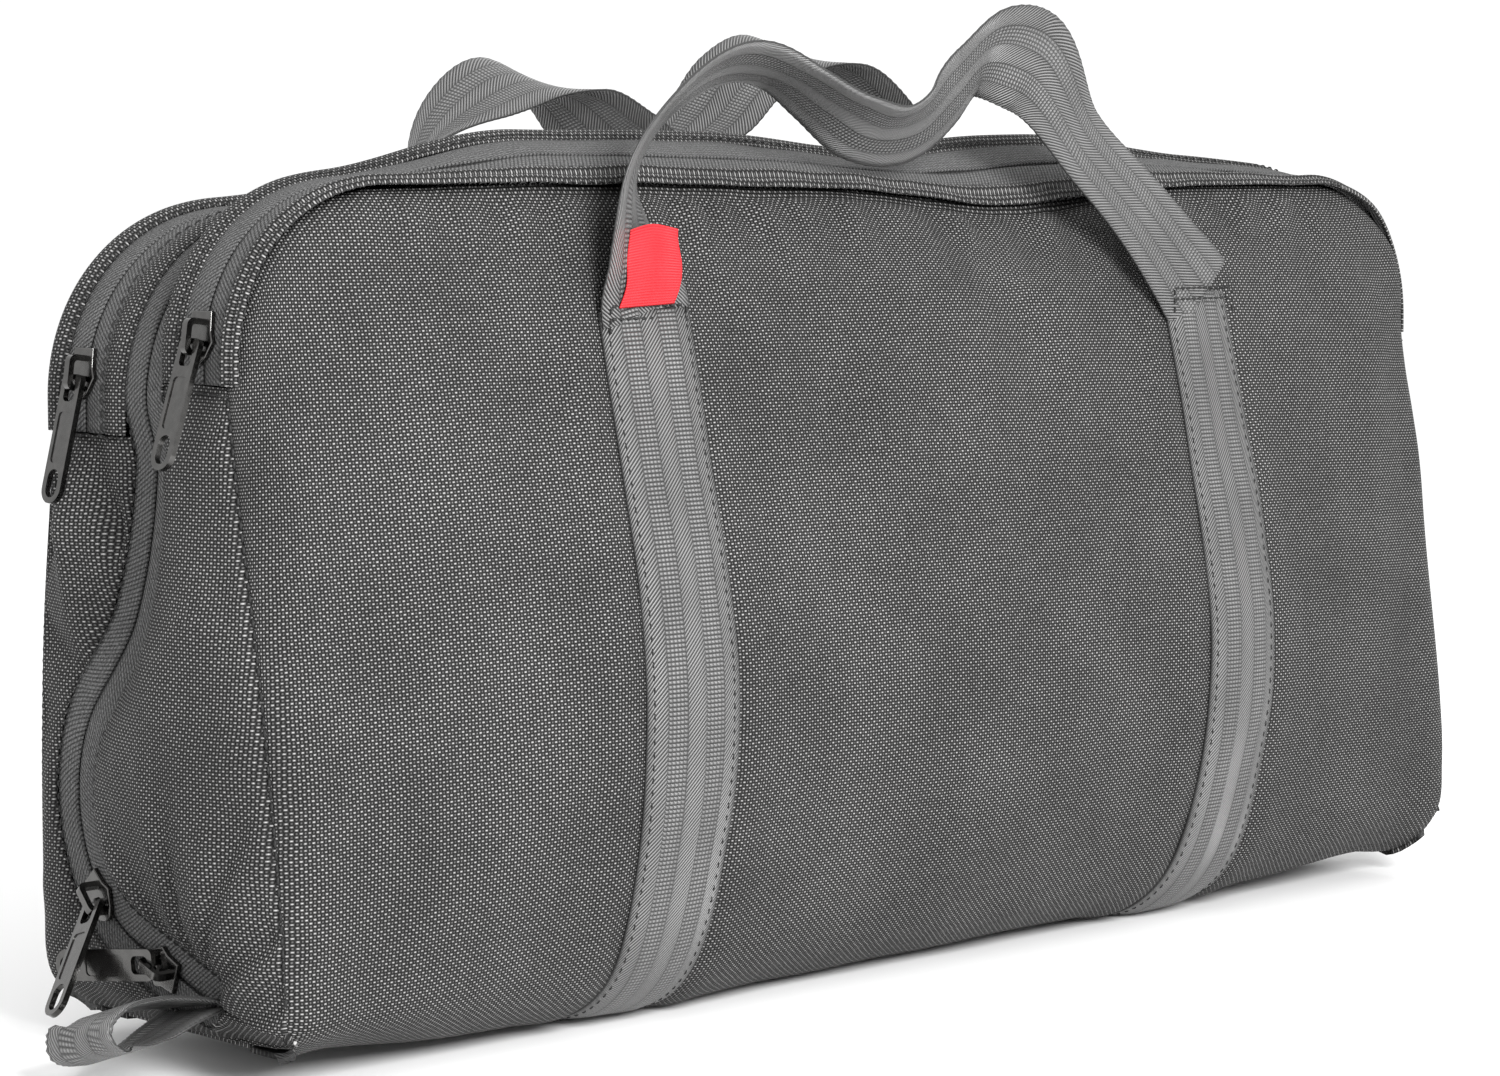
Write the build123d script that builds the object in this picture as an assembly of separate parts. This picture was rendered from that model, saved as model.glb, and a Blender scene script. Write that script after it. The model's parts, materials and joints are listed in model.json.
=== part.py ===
"""Zipped carrying bag for a film changing sack: two soft half shells that close with a zip round the
top and the ends, and stay joined along the lower front edge.

Millimetres. +Z up, +X along the bag to its right-hand end, +Y to its back. The origin is the middle of
the flat underside. The front half folds forward about the lower front edge; the rear half stands still.
"""

from build123d import *
from math import cos, radians, sin
import os

# ---- driving dimensions -------------------------------------------------------------------------
HALF_LENGTH = 228.0  # from the middle to each end
FRONT_TOP = 222.0  # height of the front half
REAR_TOP = 214.0  # height of the rear half and of the main zip between them
FRONT_CORNER = 45.0  # radius of the front half's top corners, seen from the front
REAR_CORNER = 48.0
FOOT_CORNER = 12.0  # radius of the lower corners, seen from the front
CLOTH = 1.6  # outer fabric with its foam backing
FLOOR = 2.8  # doubled cloth of the base
LINING = 0.8
FOLD_Y = -60.3  # line that the front half folds about
FOLD_Z = 14.0
GAP = 0.15  # between cloth of the two halves where they part

# ---- zips ---------------------------------------------------------------------------------------
TAPE_WIDTH = 9.0  # of each tape that shows, from the middle of the zip
TAPE_THICK = 0.8
TAPE_DEPTH = 0.4  # how far the tape lies below the outer face of the cloth
COIL_WIDTH = 2.4
COIL_THICK = 2.0
SLIT = 0.6  # half the slit between the two tapes
FRONT_ZIP_Y = -22.5
REAR_ZIP_Y = 28.0
MAIN_ZIP_Y = 2.0
FRONT_ZIP_END = 172.0  # height where each zip stops on the ends of the bag
REAR_ZIP_END = 158.0

# ---- webbing ------------------------------------------------------------------------------------
WEB_WIDTH = 30.0
WEB_THICK = 1.3
STRAP_X = 110.0
STRAP_TOP = 186.0
HANDLE_ROOT_Z = 190.0
HANDLE_ROOT_Y = -47.8
REAR_ROOT_Y = 52.2
WEB_GAP = 1.2  # between the stitched strap and the part of the handle that swings
TAB_REACH = 40.0  # how far the loop at the foot of the left end stands out
TAB_Y = (-27.0, 3.0)
TAB_ROOT_Z = 12.0
TAB_RADIUS = 6.2  # inside the loop's far end

# Points (x, z) of the handles, root to root: the webbing stands up at each end and sags between.
HANDLE_PATH = (
    (-110, 190), (-108, 210), (-99, 229), (-84, 245), (-64, 254), (-45, 247), (-29, 234), (-11, 229),
    (8, 239), (22, 254), (40, 263), (60, 258), (80, 245), (98, 227), (108, 208), (110, 190),
)

# ---- slider and pull ----------------------------------------------------------------------------
SLIDER_LENGTH = 13.0
SLIDER_WIDTH = 11.0
PLATE = 1.3
TOP_ROOM = 0.55  # between the top plate and the tape
LOW_ROOM = 0.9  # between the lower plate and the coil
PULL_LENGTH = 33.0
PULL_WIDTH = 8.0
PULL_THICK = 1.5

# Points (y, z) of the bag's section at its ends and at its middle: top, belly, edge and underside.
END_SECTION = dict(
    front_top=(-34, 222), front_belly=(-45.5, 120), front_edge=(-56, 14), front_foot=(-40, 0),
    rear_top=(42, 222), rear_belly=(51, 110), rear_edge=(50, 14), rear_foot=(36, 0),
)
MIDDLE_SECTION = dict(
    front_top=(-34, 222), front_belly=(-66, 105), front_edge=(-60, 14), front_foot=(-42, 0),
    rear_top=(42, 222), rear_belly=(62, 110), rear_edge=(53, 14), rear_foot=(38, 0),
)

# Path (y, z) of the main zip down each end, from the top: a bend towards the back, then a corner
# that brings it forward along the foot of the end.
BEND_RADIUS = 112.9
BEND_ANGLE = 38.0
TURN_Z = 66.0
TURN_RADIUS = 38.0
TURN_END = -71.6  # degrees round the corner's centre where the straight foot begins
FOOT_RUN = 36.0  # length of zip along the foot

os.makedirs("parts", exist_ok=True)


# ---- helpers ------------------------------------------------------------------------------------
def save(name, shape):
    """Writes a node; a shape may be a list of solids."""
    solids = []
    for item in shape if isinstance(shape, (list, tuple)) else [shape]:
        solids += item.solids()
    solids = [s for s in solids if s.volume > 0.05]
    node = solids[0] if len(solids) == 1 else Compound(children=solids)
    node.label = name
    export_step(node, f"parts/{name}.step")
    print(name, len(solids), round(sum(s.volume for s in solids)))


def block(x0, x1, y0, y1, z0, z1):
    return Pos((x0 + x1) / 2, (y0 + y1) / 2, (z0 + z1) / 2) * Box(x1 - x0, y1 - y0, z1 - z0)


def along_x(face, x0, x1):
    """A face drawn as (y, z), made solid from x0 to x1."""
    return Pos(x0, 0, 0) * extrude(Plane.YZ * face, amount=x1 - x0)


def along_y(face, y0, y1):
    """A face drawn as (x, z), made solid from y0 to y1."""
    return Pos(0, y1, 0) * extrude(Plane.XZ * face, amount=y1 - y0)


def section_wire(points, inset, x):
    """One closed section of the bag's body, inset all round."""
    def moved(name, dy, dz=0.0):
        y, z = points[name]
        return (y + dy * inset, z + dz * inset)

    ft, fb, fe, ff = (moved("front_top", 1), moved("front_belly", 1),
                      moved("front_edge", 1, 0.2), moved("front_foot", 0.2, 1))
    rt, rb, re, rf = (moved("rear_top", -1), moved("rear_belly", -1),
                      moved("rear_edge", -1, 0.2), moved("rear_foot", -0.2, 1))
    knee = 0.29  # how far a corner arc's middle lies from the corner, as a share
    front_knee = (fe[0] + knee * (ff[0] - fe[0]), ff[1] + knee * (fe[1] - ff[1]))
    rear_knee = (re[0] + knee * (rf[0] - re[0]), rf[1] + knee * (re[1] - rf[1]))
    edges = [
        Line(rt, ft),
        ThreePointArc(ft, fb, fe),
        ThreePointArc(fe, front_knee, ff),
        Line(ff, rf),
        ThreePointArc(rf, rear_knee, re),
        ThreePointArc(re, rb, rt),
    ]
    return Pos(x, 0, 0) * (Plane.YZ * Wire(Curve() + edges))


def body(inset):
    """The bag's body, before its corners are rounded: a loft that is fullest in the middle."""
    sections = [
        section_wire(END_SECTION, inset, -HALF_LENGTH - 2),
        section_wire(MIDDLE_SECTION, inset, 0),
        section_wire(END_SECTION, inset, HALF_LENGTH + 2),
    ]
    return Solid.make_loft(sections)


def outline(top, corner, inset):
    """The bag seen from the front: a rectangle with large upper corners."""
    w, t, b = HALF_LENGTH - inset, top - inset, inset
    r, f = corner - inset, max(FOOT_CORNER - inset, 1.0)
    d = 1 - cos(radians(45))
    edges = [
        Line((-w, b + f), (-w, t - r)),
        ThreePointArc((-w, t - r), (-w + d * r, t - d * r), (-w + r, t)),
        Line((-w + r, t), (w - r, t)),
        ThreePointArc((w - r, t), (w - d * r, t - d * r), (w, t - r)),
        Line((w, t - r), (w, b + f)),
        ThreePointArc((w, b + f), (w - d * f, b + d * f), (w - f, b)),
        Line((w - f, b), (-w + f, b)),
        ThreePointArc((-w + f, b), (-w + d * f, b + d * f), (-w, b + f)),
    ]
    return make_face(Curve() + edges)


def front_outline(inset=0.0):
    return outline(FRONT_TOP, FRONT_CORNER, inset)


def rear_outline(inset=0.0):
    return outline(REAR_TOP, REAR_CORNER, inset)


# ---- path of the main zip on an end ---------------------------------------------------------------
CENTRES = BEND_RADIUS + TURN_RADIUS  # distance between the centres of the bend and of the corner
TURN_CENTRE = (MAIN_ZIP_Y + BEND_RADIUS - CENTRES * cos(radians(BEND_ANGLE)), TURN_Z)
MAIN_STRAIGHT_END = TURN_Z + CENTRES * sin(radians(BEND_ANGLE))


def turn_point(angle, radius=TURN_RADIUS):
    return (TURN_CENTRE[0] + radius * cos(radians(angle)), TURN_CENTRE[1] + radius * sin(radians(angle)))


BEND_CENTRE = (MAIN_ZIP_Y + BEND_RADIUS, MAIN_STRAIGHT_END)
FOOT_HEADING = (sin(radians(TURN_END)), -cos(radians(TURN_END)))
FOOT_START = turn_point(TURN_END)
ZIP_FOOT = (FOOT_START[0] + FOOT_RUN * FOOT_HEADING[0], FOOT_START[1] + FOOT_RUN * FOOT_HEADING[1])
FOOT_NORMAL = (FOOT_HEADING[1], -FOOT_HEADING[0])  # points to the front half's side


def zip_edges(offset, foot=FOOT_RUN, top=REAR_TOP + 30):
    """The main zip's path down an end, moved sideways; a positive offset is the front half's side."""
    bend, turn = BEND_RADIUS + offset, TURN_RADIUS - offset

    def bend_point(angle):
        return (BEND_CENTRE[0] + bend * cos(radians(angle)), BEND_CENTRE[1] + bend * sin(radians(angle)))

    middle = (BEND_ANGLE + TURN_END) / 2
    foot_start = turn_point(TURN_END, turn)
    foot_end = (foot_start[0] + foot * FOOT_HEADING[0], foot_start[1] + foot * FOOT_HEADING[1])
    y = MAIN_ZIP_Y - offset
    edges = [
        Line((y, top), (y, MAIN_STRAIGHT_END)),
        ThreePointArc(bend_point(180), bend_point(180 + BEND_ANGLE / 2), bend_point(180 + BEND_ANGLE)),
        ThreePointArc(turn_point(BEND_ANGLE, turn), turn_point(middle, turn), foot_start),
        Line(foot_start, foot_end),
    ]
    return edges, (y, top), foot_end


def band_on_end(inner, outer, top, foot=FOOT_RUN):
    """The strip between two offsets of the main zip's path, as a face."""
    a, a_top, a_end = zip_edges(inner, foot, top)
    b, b_top, b_end = zip_edges(outer, foot, top)
    return make_face(Curve() + a + b + [Line(a_top, b_top), Line(a_end, b_end)])


def side_region(offset):
    """Everything on one half's side of the zip, as a face; a positive offset is the front's."""
    edges, top, end = zip_edges(offset)
    side = 1 if offset > 0 else -1
    zip_end = (ZIP_FOOT[0] + side * GAP * FOOT_NORMAL[0], ZIP_FOOT[1] + side * GAP * FOOT_NORMAL[1])
    fold = (FOLD_Y - 1, FOLD_Z + side * GAP)
    if side > 0:
        rest = [Line(end, zip_end), Line(zip_end, fold), Line(fold, (-120, fold[1])),
                Line((-120, fold[1]), (-120, top[1])), Line((-120, top[1]), top)]
    else:
        rest = [Line(end, zip_end), Line(zip_end, fold), Line(fold, (-120, fold[1])),
                Line((-120, fold[1]), (-120, -10)), Line((-120, -10), (120, -10)),
                Line((120, -10), (120, top[1])), Line((120, top[1]), top)]
    return make_face(Curve() + edges + rest)


# ---- zip parts ------------------------------------------------------------------------------------
def ring(shape, y0, y1, depth, thick, z0):
    """A band that follows an outline over the top, from height z0 on one end to z0 on the other."""
    wide = block(-300, 300, y0, y1, z0, 400)
    return (along_y(shape(depth), y0, y1) - along_y(shape(depth + thick), y0 - 1, y1 + 1)) & wide


def zip_pair(shape, y, z0):
    """The two tapes and the two coils of a zip that runs over the top of one half."""
    tapes, coils = [], []
    for side in (-1, 1):
        near, far = sorted((y + side * SLIT, y + side * TAPE_WIDTH))
        tapes.append(ring(shape, near, far, TAPE_DEPTH, TAPE_THICK, z0))
        near, far = sorted((y + side * SLIT, y + side * (SLIT + COIL_WIDTH)))
        coils.append(ring(shape, near, far, TAPE_DEPTH + TAPE_THICK, COIL_THICK, z0 + 3))
    return tapes, coils


def plate_shape(length, width):
    """A slider's plate: square tail, widest past its middle, blunt nose. The nose points to +x."""
    n, w = length / 2, width / 2
    return make_face(Polyline(
        (-n, -0.72 * w), (-0.25 * n, -0.80 * w), (0.15 * n, -w), (0.75 * n, -0.55 * w), (n, -0.2 * w),
        (n, 0.2 * w), (0.75 * n, 0.55 * w), (0.15 * n, w), (-0.25 * n, 0.80 * w), (-n, 0.72 * w), close=True))


BAIL_HALF = 4.6
BAIL_WIDTH = 2.0
BAIL_RISE = 4.4
BAIL_THICK = 1.5
BAIL_TOP = TOP_ROOM + PLATE + BAIL_RISE


def arch(half, bottom, top, radius):
    """An upright opening or block with two rounded upper corners, drawn as (x, z)."""
    shape = Pos(0, (bottom + top) / 2) * Rectangle(2 * half, top - bottom)
    return fillet(shape.vertices().group_by(Axis.Y)[-1], radius)


def slider():
    """A slider on a zip whose outer tape face is z = 0, running along x with its nose to +x."""
    plate = plate_shape(SLIDER_LENGTH, SLIDER_WIDTH)
    floor = -(TAPE_THICK + COIL_THICK + LOW_ROOM)
    top = Pos(0, 0, TOP_ROOM) * extrude(plate, PLATE)
    top = fillet(top.faces().sort_by(Axis.Z)[-1].edges(), 0.35)
    low = Pos(0, 0, floor - PLATE) * extrude(plate, PLATE)
    web = block(-1.0, 3.2, -0.35, 0.35, floor - 0.2, TOP_ROOM + 0.2)
    flanges = [block(-5.2, 1.2, s - 0.4, s + 0.4, floor - 0.2, floor + 2.2) for s in (-4.0, 4.0)]
    foot = TOP_ROOM + PLATE - 0.2
    arched = (arch(BAIL_HALF, foot, BAIL_TOP, 2.0)
              - arch(BAIL_HALF - BAIL_THICK, foot - 1, BAIL_TOP - BAIL_THICK, 1.0))
    bail = Pos(0, BAIL_WIDTH / 2, 0) * extrude(Plane.XZ * arched, amount=BAIL_WIDTH)
    return top + low + web + flanges[0] + flanges[1] + bail


EYE_BAR = 1.4
EYE_HOLE = (4.6, 5.6)  # across and along the pull
GRIP_HOLE = (4.6, 7.2)
PULL_EYE = (1.2, BAIL_TOP - BAIL_THICK - 1.15)  # (x, z) of the eye bar's middle in the bail


def oval(width, length, low):
    """A slot shape from (0, low) up."""
    return Pos(0, low + length / 2) * SlotOverall(length, width, rotation=90)


def pull(shift=0.0):
    """A pull tab hung from the origin along -z, its faces to +x and -x, its width along y."""
    top = EYE_BAR / 2
    tab = oval(PULL_WIDTH, PULL_LENGTH, top - PULL_LENGTH) + Pos(0, top - 4) * Rectangle(PULL_WIDTH, 8)
    tab = fillet(tab.vertices().group_by(Axis.Y)[-1], 1.6)
    eye = Pos(0, top - EYE_BAR - EYE_HOLE[1] / 2) * RectangleRounded(*EYE_HOLE, 1.4)
    grip = oval(*GRIP_HOLE, top - PULL_LENGTH + 1.5)
    flat = extrude(Plane.YZ * (tab - eye - grip), amount=PULL_THICK / 2, both=True)
    panel = Plane.YZ * (Pos(0, top - 16.2) * RectangleRounded(PULL_WIDTH - 2.6, 13.0, 1.2))
    recess = Pos(PULL_THICK / 2 - 0.3, 0, 0) * extrude(panel, amount=1)
    back = Pos(-PULL_THICK / 2 - 0.7, 0, 0) * extrude(panel, amount=1)
    return Pos(0, shift, 0) * (flat - recess - back)


def place(shape, origin, nose, out):
    """Puts a slider or pull with its +x along nose and its +z along out."""
    return Plane(origin=origin, x_dir=nose, z_dir=out) * shape


def hung(tilt, yaw=0.0, shift=0.0):
    """The pull on a slider in the slider's own frame, past its nose, raised off the tape by tilt."""
    return Pos(PULL_EYE[0], 0, PULL_EYE[1]) * Rot(0, 0, yaw) * Rot(0, -90 - tilt, 0) * pull(shift)


# ---- webbing ---------------------------------------------------------------------------------------
def handle(points, y):
    """Webbing that stands flat to the panel at its roots and turns edge-on to it over the top."""
    spine = Plane.XZ * Spline(*points, tangents=((0, 1), (0, -1)))
    spine = Pos(0, y, 0) * spine
    count = 17
    sections = []
    for i in range(count):
        t = i / (count - 1)
        at, along = spine @ t, spine % t
        rise = abs(along.Z)
        lean = 90 * (1 - rise ** 2) if 0 < i < count - 1 else 0.0
        across = Vector(along.Z, 0, -along.X) * (1 if t < 0.5 else -1)
        across = across * cos(radians(lean)) + Vector(0, 1, 0) * sin(radians(lean))
        frame = Plane(origin=at, x_dir=across, z_dir=along)
        sections.append(frame * Wire.make_rect(WEB_WIDTH, WEB_THICK))
    return Solid.make_loft(sections, ruled=True)


# ---- the two halves -------------------------------------------------------------------------------
outer, middle, inner = body(0), body(CLOTH), body(CLOTH + LINING)
skin = outer - middle
front_side = along_x(side_region(TAPE_WIDTH), -300, 300)
rear_side = along_x(side_region(-TAPE_WIDTH), -300, 300)
front_face = along_y(front_outline(CLOTH), -120, -10)
rear_face = along_y(rear_outline(CLOTH), 10, 120)

front_half = skin & along_y(front_outline(), -120, MAIN_ZIP_Y)
front_panel = front_half & front_face & block(-300, 300, -120, -10, FOLD_Z + GAP, 400)
save("front_panel", front_panel)

rear_half = skin & along_y(rear_outline(), MAIN_ZIP_Y, 120)
back_panel = rear_half & rear_face & block(-300, 300, 10, 120, FOLD_Z, 400)
save("back_panel", back_panel)

# The closed rim of each half, which the skin's faces meet.
front_rim = (along_y(front_outline(), -120, 60) - along_y(front_outline(CLOTH), -121, 61)) & outer
rear_rim = (along_y(rear_outline(), -120, 120) - along_y(rear_outline(CLOTH), -121, 121)) & outer

END_X = HALF_LENGTH - FOOT_CORNER
strap_columns = [block(s * STRAP_X - WEB_WIDTH / 2, s * STRAP_X + WEB_WIDTH / 2, -120, 120, 0, 400)
                 for s in (-1, 1)]
base_walls = skin & along_y(rear_outline(CLOTH), -120, 120) & block(-300, 300, -120, 120, FLOOR, FOLD_Z)
base_floor = outer & block(-END_X, END_X, -120, 120, 0, FLOOR)
base = base_walls + base_floor - block(-300, 300, -120, -50, FOLD_Z - GAP, FOLD_Z + 1)
under = [outer & column & block(-300, 300, -120, 120, 0, WEB_THICK) for column in strap_columns]
save("base_panel", base - under[0] - under[1])

for name, x0, x1 in (("left", -300, -100), ("right", 100, 300)):
    low = block(x0, x1, -120, MAIN_ZIP_Y + 60, FOLD_Z - 10, FRONT_ZIP_END)
    save(f"front_end_{name}", front_rim & front_side & low)
    low = block(x0, x1, -120, 120, -1, REAR_ZIP_END) - block(-END_X, END_X, -120, 120, -1, 10)
    save(f"rear_end_{name}", rear_rim & rear_side & low)

# Strips of cloth beside the zips, over the top and down to the zips' ends.
FRONT_STRIP = (FRONT_ZIP_Y + TAPE_WIDTH, MAIN_ZIP_Y - TAPE_WIDTH)
front_upper = block(-300, 300, -120, 120, FRONT_ZIP_END, 400)
save("front_zip_facing", front_rim & front_upper & block(-300, 300, -120, FRONT_ZIP_Y - TAPE_WIDTH, 0, 400))
front_return = along_y(front_outline(CLOTH) - rear_outline(CLOTH), FRONT_STRIP[1] - CLOTH, FRONT_STRIP[1])
save("front_gusset", (front_rim & front_upper & block(-300, 300, *FRONT_STRIP, 0, 400))
     + (front_return & front_upper))

rear_upper = block(-300, 300, -120, 120, REAR_ZIP_END, 400)
REAR_STRIP = (MAIN_ZIP_Y + TAPE_WIDTH, REAR_ZIP_Y - TAPE_WIDTH)
save("rear_gusset", rear_rim & rear_upper & block(-300, 300, *REAR_STRIP, 0, 400))
save("rear_zip_facing", rear_rim & rear_upper & block(-300, 300, REAR_ZIP_Y + TAPE_WIDTH, 120, 0, 400))

# ---- zips -----------------------------------------------------------------------------------------
for name, shape, y, end in (("front", front_outline, FRONT_ZIP_Y, FRONT_ZIP_END),
                            ("rear", rear_outline, REAR_ZIP_Y, REAR_ZIP_END)):
    tapes, coils = zip_pair(shape, y, end)
    save(f"{name}_zip_tapes", tapes)
    save(f"{name}_zip_coils", coils)

UPPER_SLIDER_ANGLE = -43.0  # of the upper main slider round the corner's centre
LOWER_SLIDER_RUN = 12.0  # of the lower main slider's middle past the corner, along the foot
for name, side in (("front", 1), ("rear", -1)):
    tape_solids, coil_solids = [], []
    near, far = sorted((MAIN_ZIP_Y - side * SLIT, MAIN_ZIP_Y - side * TAPE_WIDTH))
    tape_solids.append(ring(rear_outline, near, far, TAPE_DEPTH, TAPE_THICK, REAR_ZIP_END + 8))
    near, far = sorted((MAIN_ZIP_Y - side * SLIT, MAIN_ZIP_Y - side * (SLIT + COIL_WIDTH)))
    coil_solids.append(ring(rear_outline, near, far, TAPE_DEPTH + TAPE_THICK, COIL_THICK, REAR_ZIP_END + 8))
    tape_face = band_on_end(side * SLIT, side * TAPE_WIDTH, REAR_ZIP_END + 8)
    coil_face = band_on_end(side * SLIT, side * (SLIT + COIL_WIDTH), REAR_ZIP_END + 8, FOOT_RUN - 4)
    for x_sign in (-1, 1):
        face_x = x_sign * (HALF_LENGTH - TAPE_DEPTH)
        tape_solids.append(along_x(tape_face, *sorted((face_x, face_x - x_sign * TAPE_THICK))))
        coil_x = face_x - x_sign * TAPE_THICK
        coil = along_x(coil_face, *sorted((coil_x, coil_x - x_sign * COIL_THICK)))
        if x_sign < 0 and side > 0:  # the left end's chain is open from the upper slider on
            coil = coil & block(-300, 0, -100, 100, turn_point(UPPER_SLIDER_ANGLE + 16)[1], 300)
        coil_solids.append(coil)
    save(f"main_zip_tape_{name}", tape_solids[0] + tape_solids[1] + tape_solids[2])
    save(f"main_zip_coil_{name}", coil_solids[0] + coil_solids[1] + coil_solids[2])


def left_side(y, z, face_x=HALF_LENGTH - TAPE_DEPTH):
    return (-face_x, y, z)


def on_corner(top, corner, angle, y):
    """A point on a zip's tape at an angle up a left-hand top corner, with its nose and outward ways."""
    r = corner - TAPE_DEPTH
    cx, cz = -HALF_LENGTH + corner, top - corner
    a = radians(angle)
    return (cx - r * cos(a), y, cz + r * sin(a)), (-sin(a), 0, -cos(a)), (-cos(a), 0, sin(a))


FRONT_SLIDER_ANGLE = 8.0
REAR_SLIDER_ANGLE = 8.0
UP_HEADING = (-sin(radians(UPPER_SLIDER_ANGLE)), cos(radians(UPPER_SLIDER_ANGLE)))
upper_at = turn_point(UPPER_SLIDER_ANGLE)
lower_at = (FOOT_START[0] + LOWER_SLIDER_RUN * FOOT_HEADING[0],
            FOOT_START[1] + LOWER_SLIDER_RUN * FOOT_HEADING[1])
OUT_LEFT = (-1, 0, 0)
seats = {  # where each slider is, with its nose and outward ways, and how its pull hangs
    "front_zip": (on_corner(FRONT_TOP, FRONT_CORNER, FRONT_SLIDER_ANGLE, FRONT_ZIP_Y), (10, 0, 0)),
    "rear_zip": (on_corner(REAR_TOP, REAR_CORNER, REAR_SLIDER_ANGLE, REAR_ZIP_Y), (6, 0, 0)),
    "main_zip_upper": ((left_side(*upper_at), (0, -UP_HEADING[0], -UP_HEADING[1]), OUT_LEFT), (35, -25, 0.5)),
    "main_zip_lower": ((left_side(*lower_at), (0, -FOOT_HEADING[0], -FOOT_HEADING[1]), OUT_LEFT), (12, 25, -0.5)),
}
for name, ((origin, nose, out), (tilt, yaw, shift)) in seats.items():
    save(f"{name}_slider", place(slider(), origin, nose, out))
    save(f"{name}_pull", place(hung(tilt, yaw, shift), origin, nose, out))
    hook = Plane(origin=origin, x_dir=nose, z_dir=out) * Pos(PULL_EYE[0], 0, PULL_EYE[1]) * Rot(0, 0, yaw)
    pin = Plane(hook)
    print("  hook", name, [round(c, 3) for c in pin.origin], [round(c, 4) for c in pin.y_dir])

# ---- linings ---------------------------------------------------------------------------------------
def lining(shape, region, low, high, keep):
    """The layer behind a half's cloth, held clear of the zips over the top."""
    space = middle & along_y(shape(CLOTH), -120, 120)
    core = inner & along_y(shape(CLOTH + LINING), -120, 120)
    wall = space & region & block(-300, 300, *keep, low, 400)
    below = space & region & block(-300, 300, -120, 120, low, high)
    return (wall + below) - core - block(-300, 300, -120, 120, -1, FLOOR)


front_lining = lining(front_outline, front_side, FOLD_Z + 6, FRONT_ZIP_END - 8, (-120, FRONT_ZIP_Y - TAPE_WIDTH - 1))
save("front_lining", front_lining)
rear_lining = lining(rear_outline, rear_side, FLOOR, REAR_ZIP_END - 8, (REAR_ZIP_Y + TAPE_WIDTH + 1, 120))
save("rear_lining", rear_lining)

# ---- straps and handles ------------------------------------------------------------------------------
web_layer = body(-WEB_THICK) - outer
front_straps, rear_straps = [], []
for column, under_part in zip(strap_columns, under):
    side_layer = web_layer & column
    front_straps.append(side_layer & block(-300, 300, -120, -10, FOLD_Z + 1.5, HANDLE_ROOT_Z - WEB_GAP))
    toe = side_layer & block(-300, 300, -120, -10, 0, FOLD_Z - 2)
    back = side_layer & block(-300, 300, 10, 120, 0, HANDLE_ROOT_Z - WEB_GAP)
    rear_straps.append(toe + under_part + back)
save("front_straps", front_straps)
save("rear_straps", rear_straps)
save("front_handle", handle(HANDLE_PATH, HANDLE_ROOT_Y))
save("rear_handle", handle([(-x, z) for x, z in reversed(HANDLE_PATH)], REAR_ROOT_Y))
for name, solid in (("front strap top", front_straps[0]), ("rear strap top", rear_straps[0])):
    top_face = solid.faces().sort_by(Axis.Z)[-1]
    print("  ", name, top_face.bounding_box())

# ---- loop at the foot of the left end, and the flag in the strap's seam ---------------------------------
root_x, reach = -HALF_LENGTH - 0.3, TAB_REACH - TAB_RADIUS
TAB_SAG = 2.0  # of the loop's far end below its root
centre = (root_x - reach, TAB_ROOT_Z - TAB_SAG)


def teardrop(radius, root):
    """A loop's side view: a round far end drawn in to a narrow root."""
    cx, cz = centre
    upper, lower = (root_x, TAB_ROOT_Z + root), (root_x, TAB_ROOT_Z - root)
    edges = [
        Line(lower, upper),
        Line(upper, (cx, cz + radius)),
        ThreePointArc((cx, cz + radius), (cx - radius, cz), (cx, cz - radius)),
        Line((cx, cz - radius), lower),
    ]
    return make_face(Curve() + edges)


save("end_tab", along_y(teardrop(TAB_RADIUS + WEB_THICK, WEB_THICK + 0.3), *TAB_Y)
     - along_y(teardrop(TAB_RADIUS, 0.3), TAB_Y[0] - 1, TAB_Y[1] + 1))

FLAG = (18.0, 1.2, 16.0)  # folded ribbon sewn in above the left strap's stitching
save("side_flag", Pos(-STRAP_X - 1, HANDLE_ROOT_Y - 2.8, HANDLE_ROOT_Z + 9) * Box(*FLAG))

# ---- what is stowed inside ------------------------------------------------------------------------------
def cushion(x0, x1, y0, y1, z0, z1, radius):
    return fillet(block(x0, x1, y0, y1, z0, z1).edges(), radius)


save("changing_sack", cushion(-150, 150, 16, 42, 6, 160, 9))
for name, side in (("left", -1), ("right", 1)):
    x0, x1 = sorted((side * 20, side * 140))
    save(f"sleeve_{name}", cushion(x0, x1, 2, 15.7, 30, 150, 5))
    save(f"cuff_{name}", cushion(x0 + 14, x1 - 14, 3, 14.7, 12, 29.8, 4))
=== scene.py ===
"""Looks of the zipped bag: cloth panels, webbing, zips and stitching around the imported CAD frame."""

import json
import math

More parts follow.
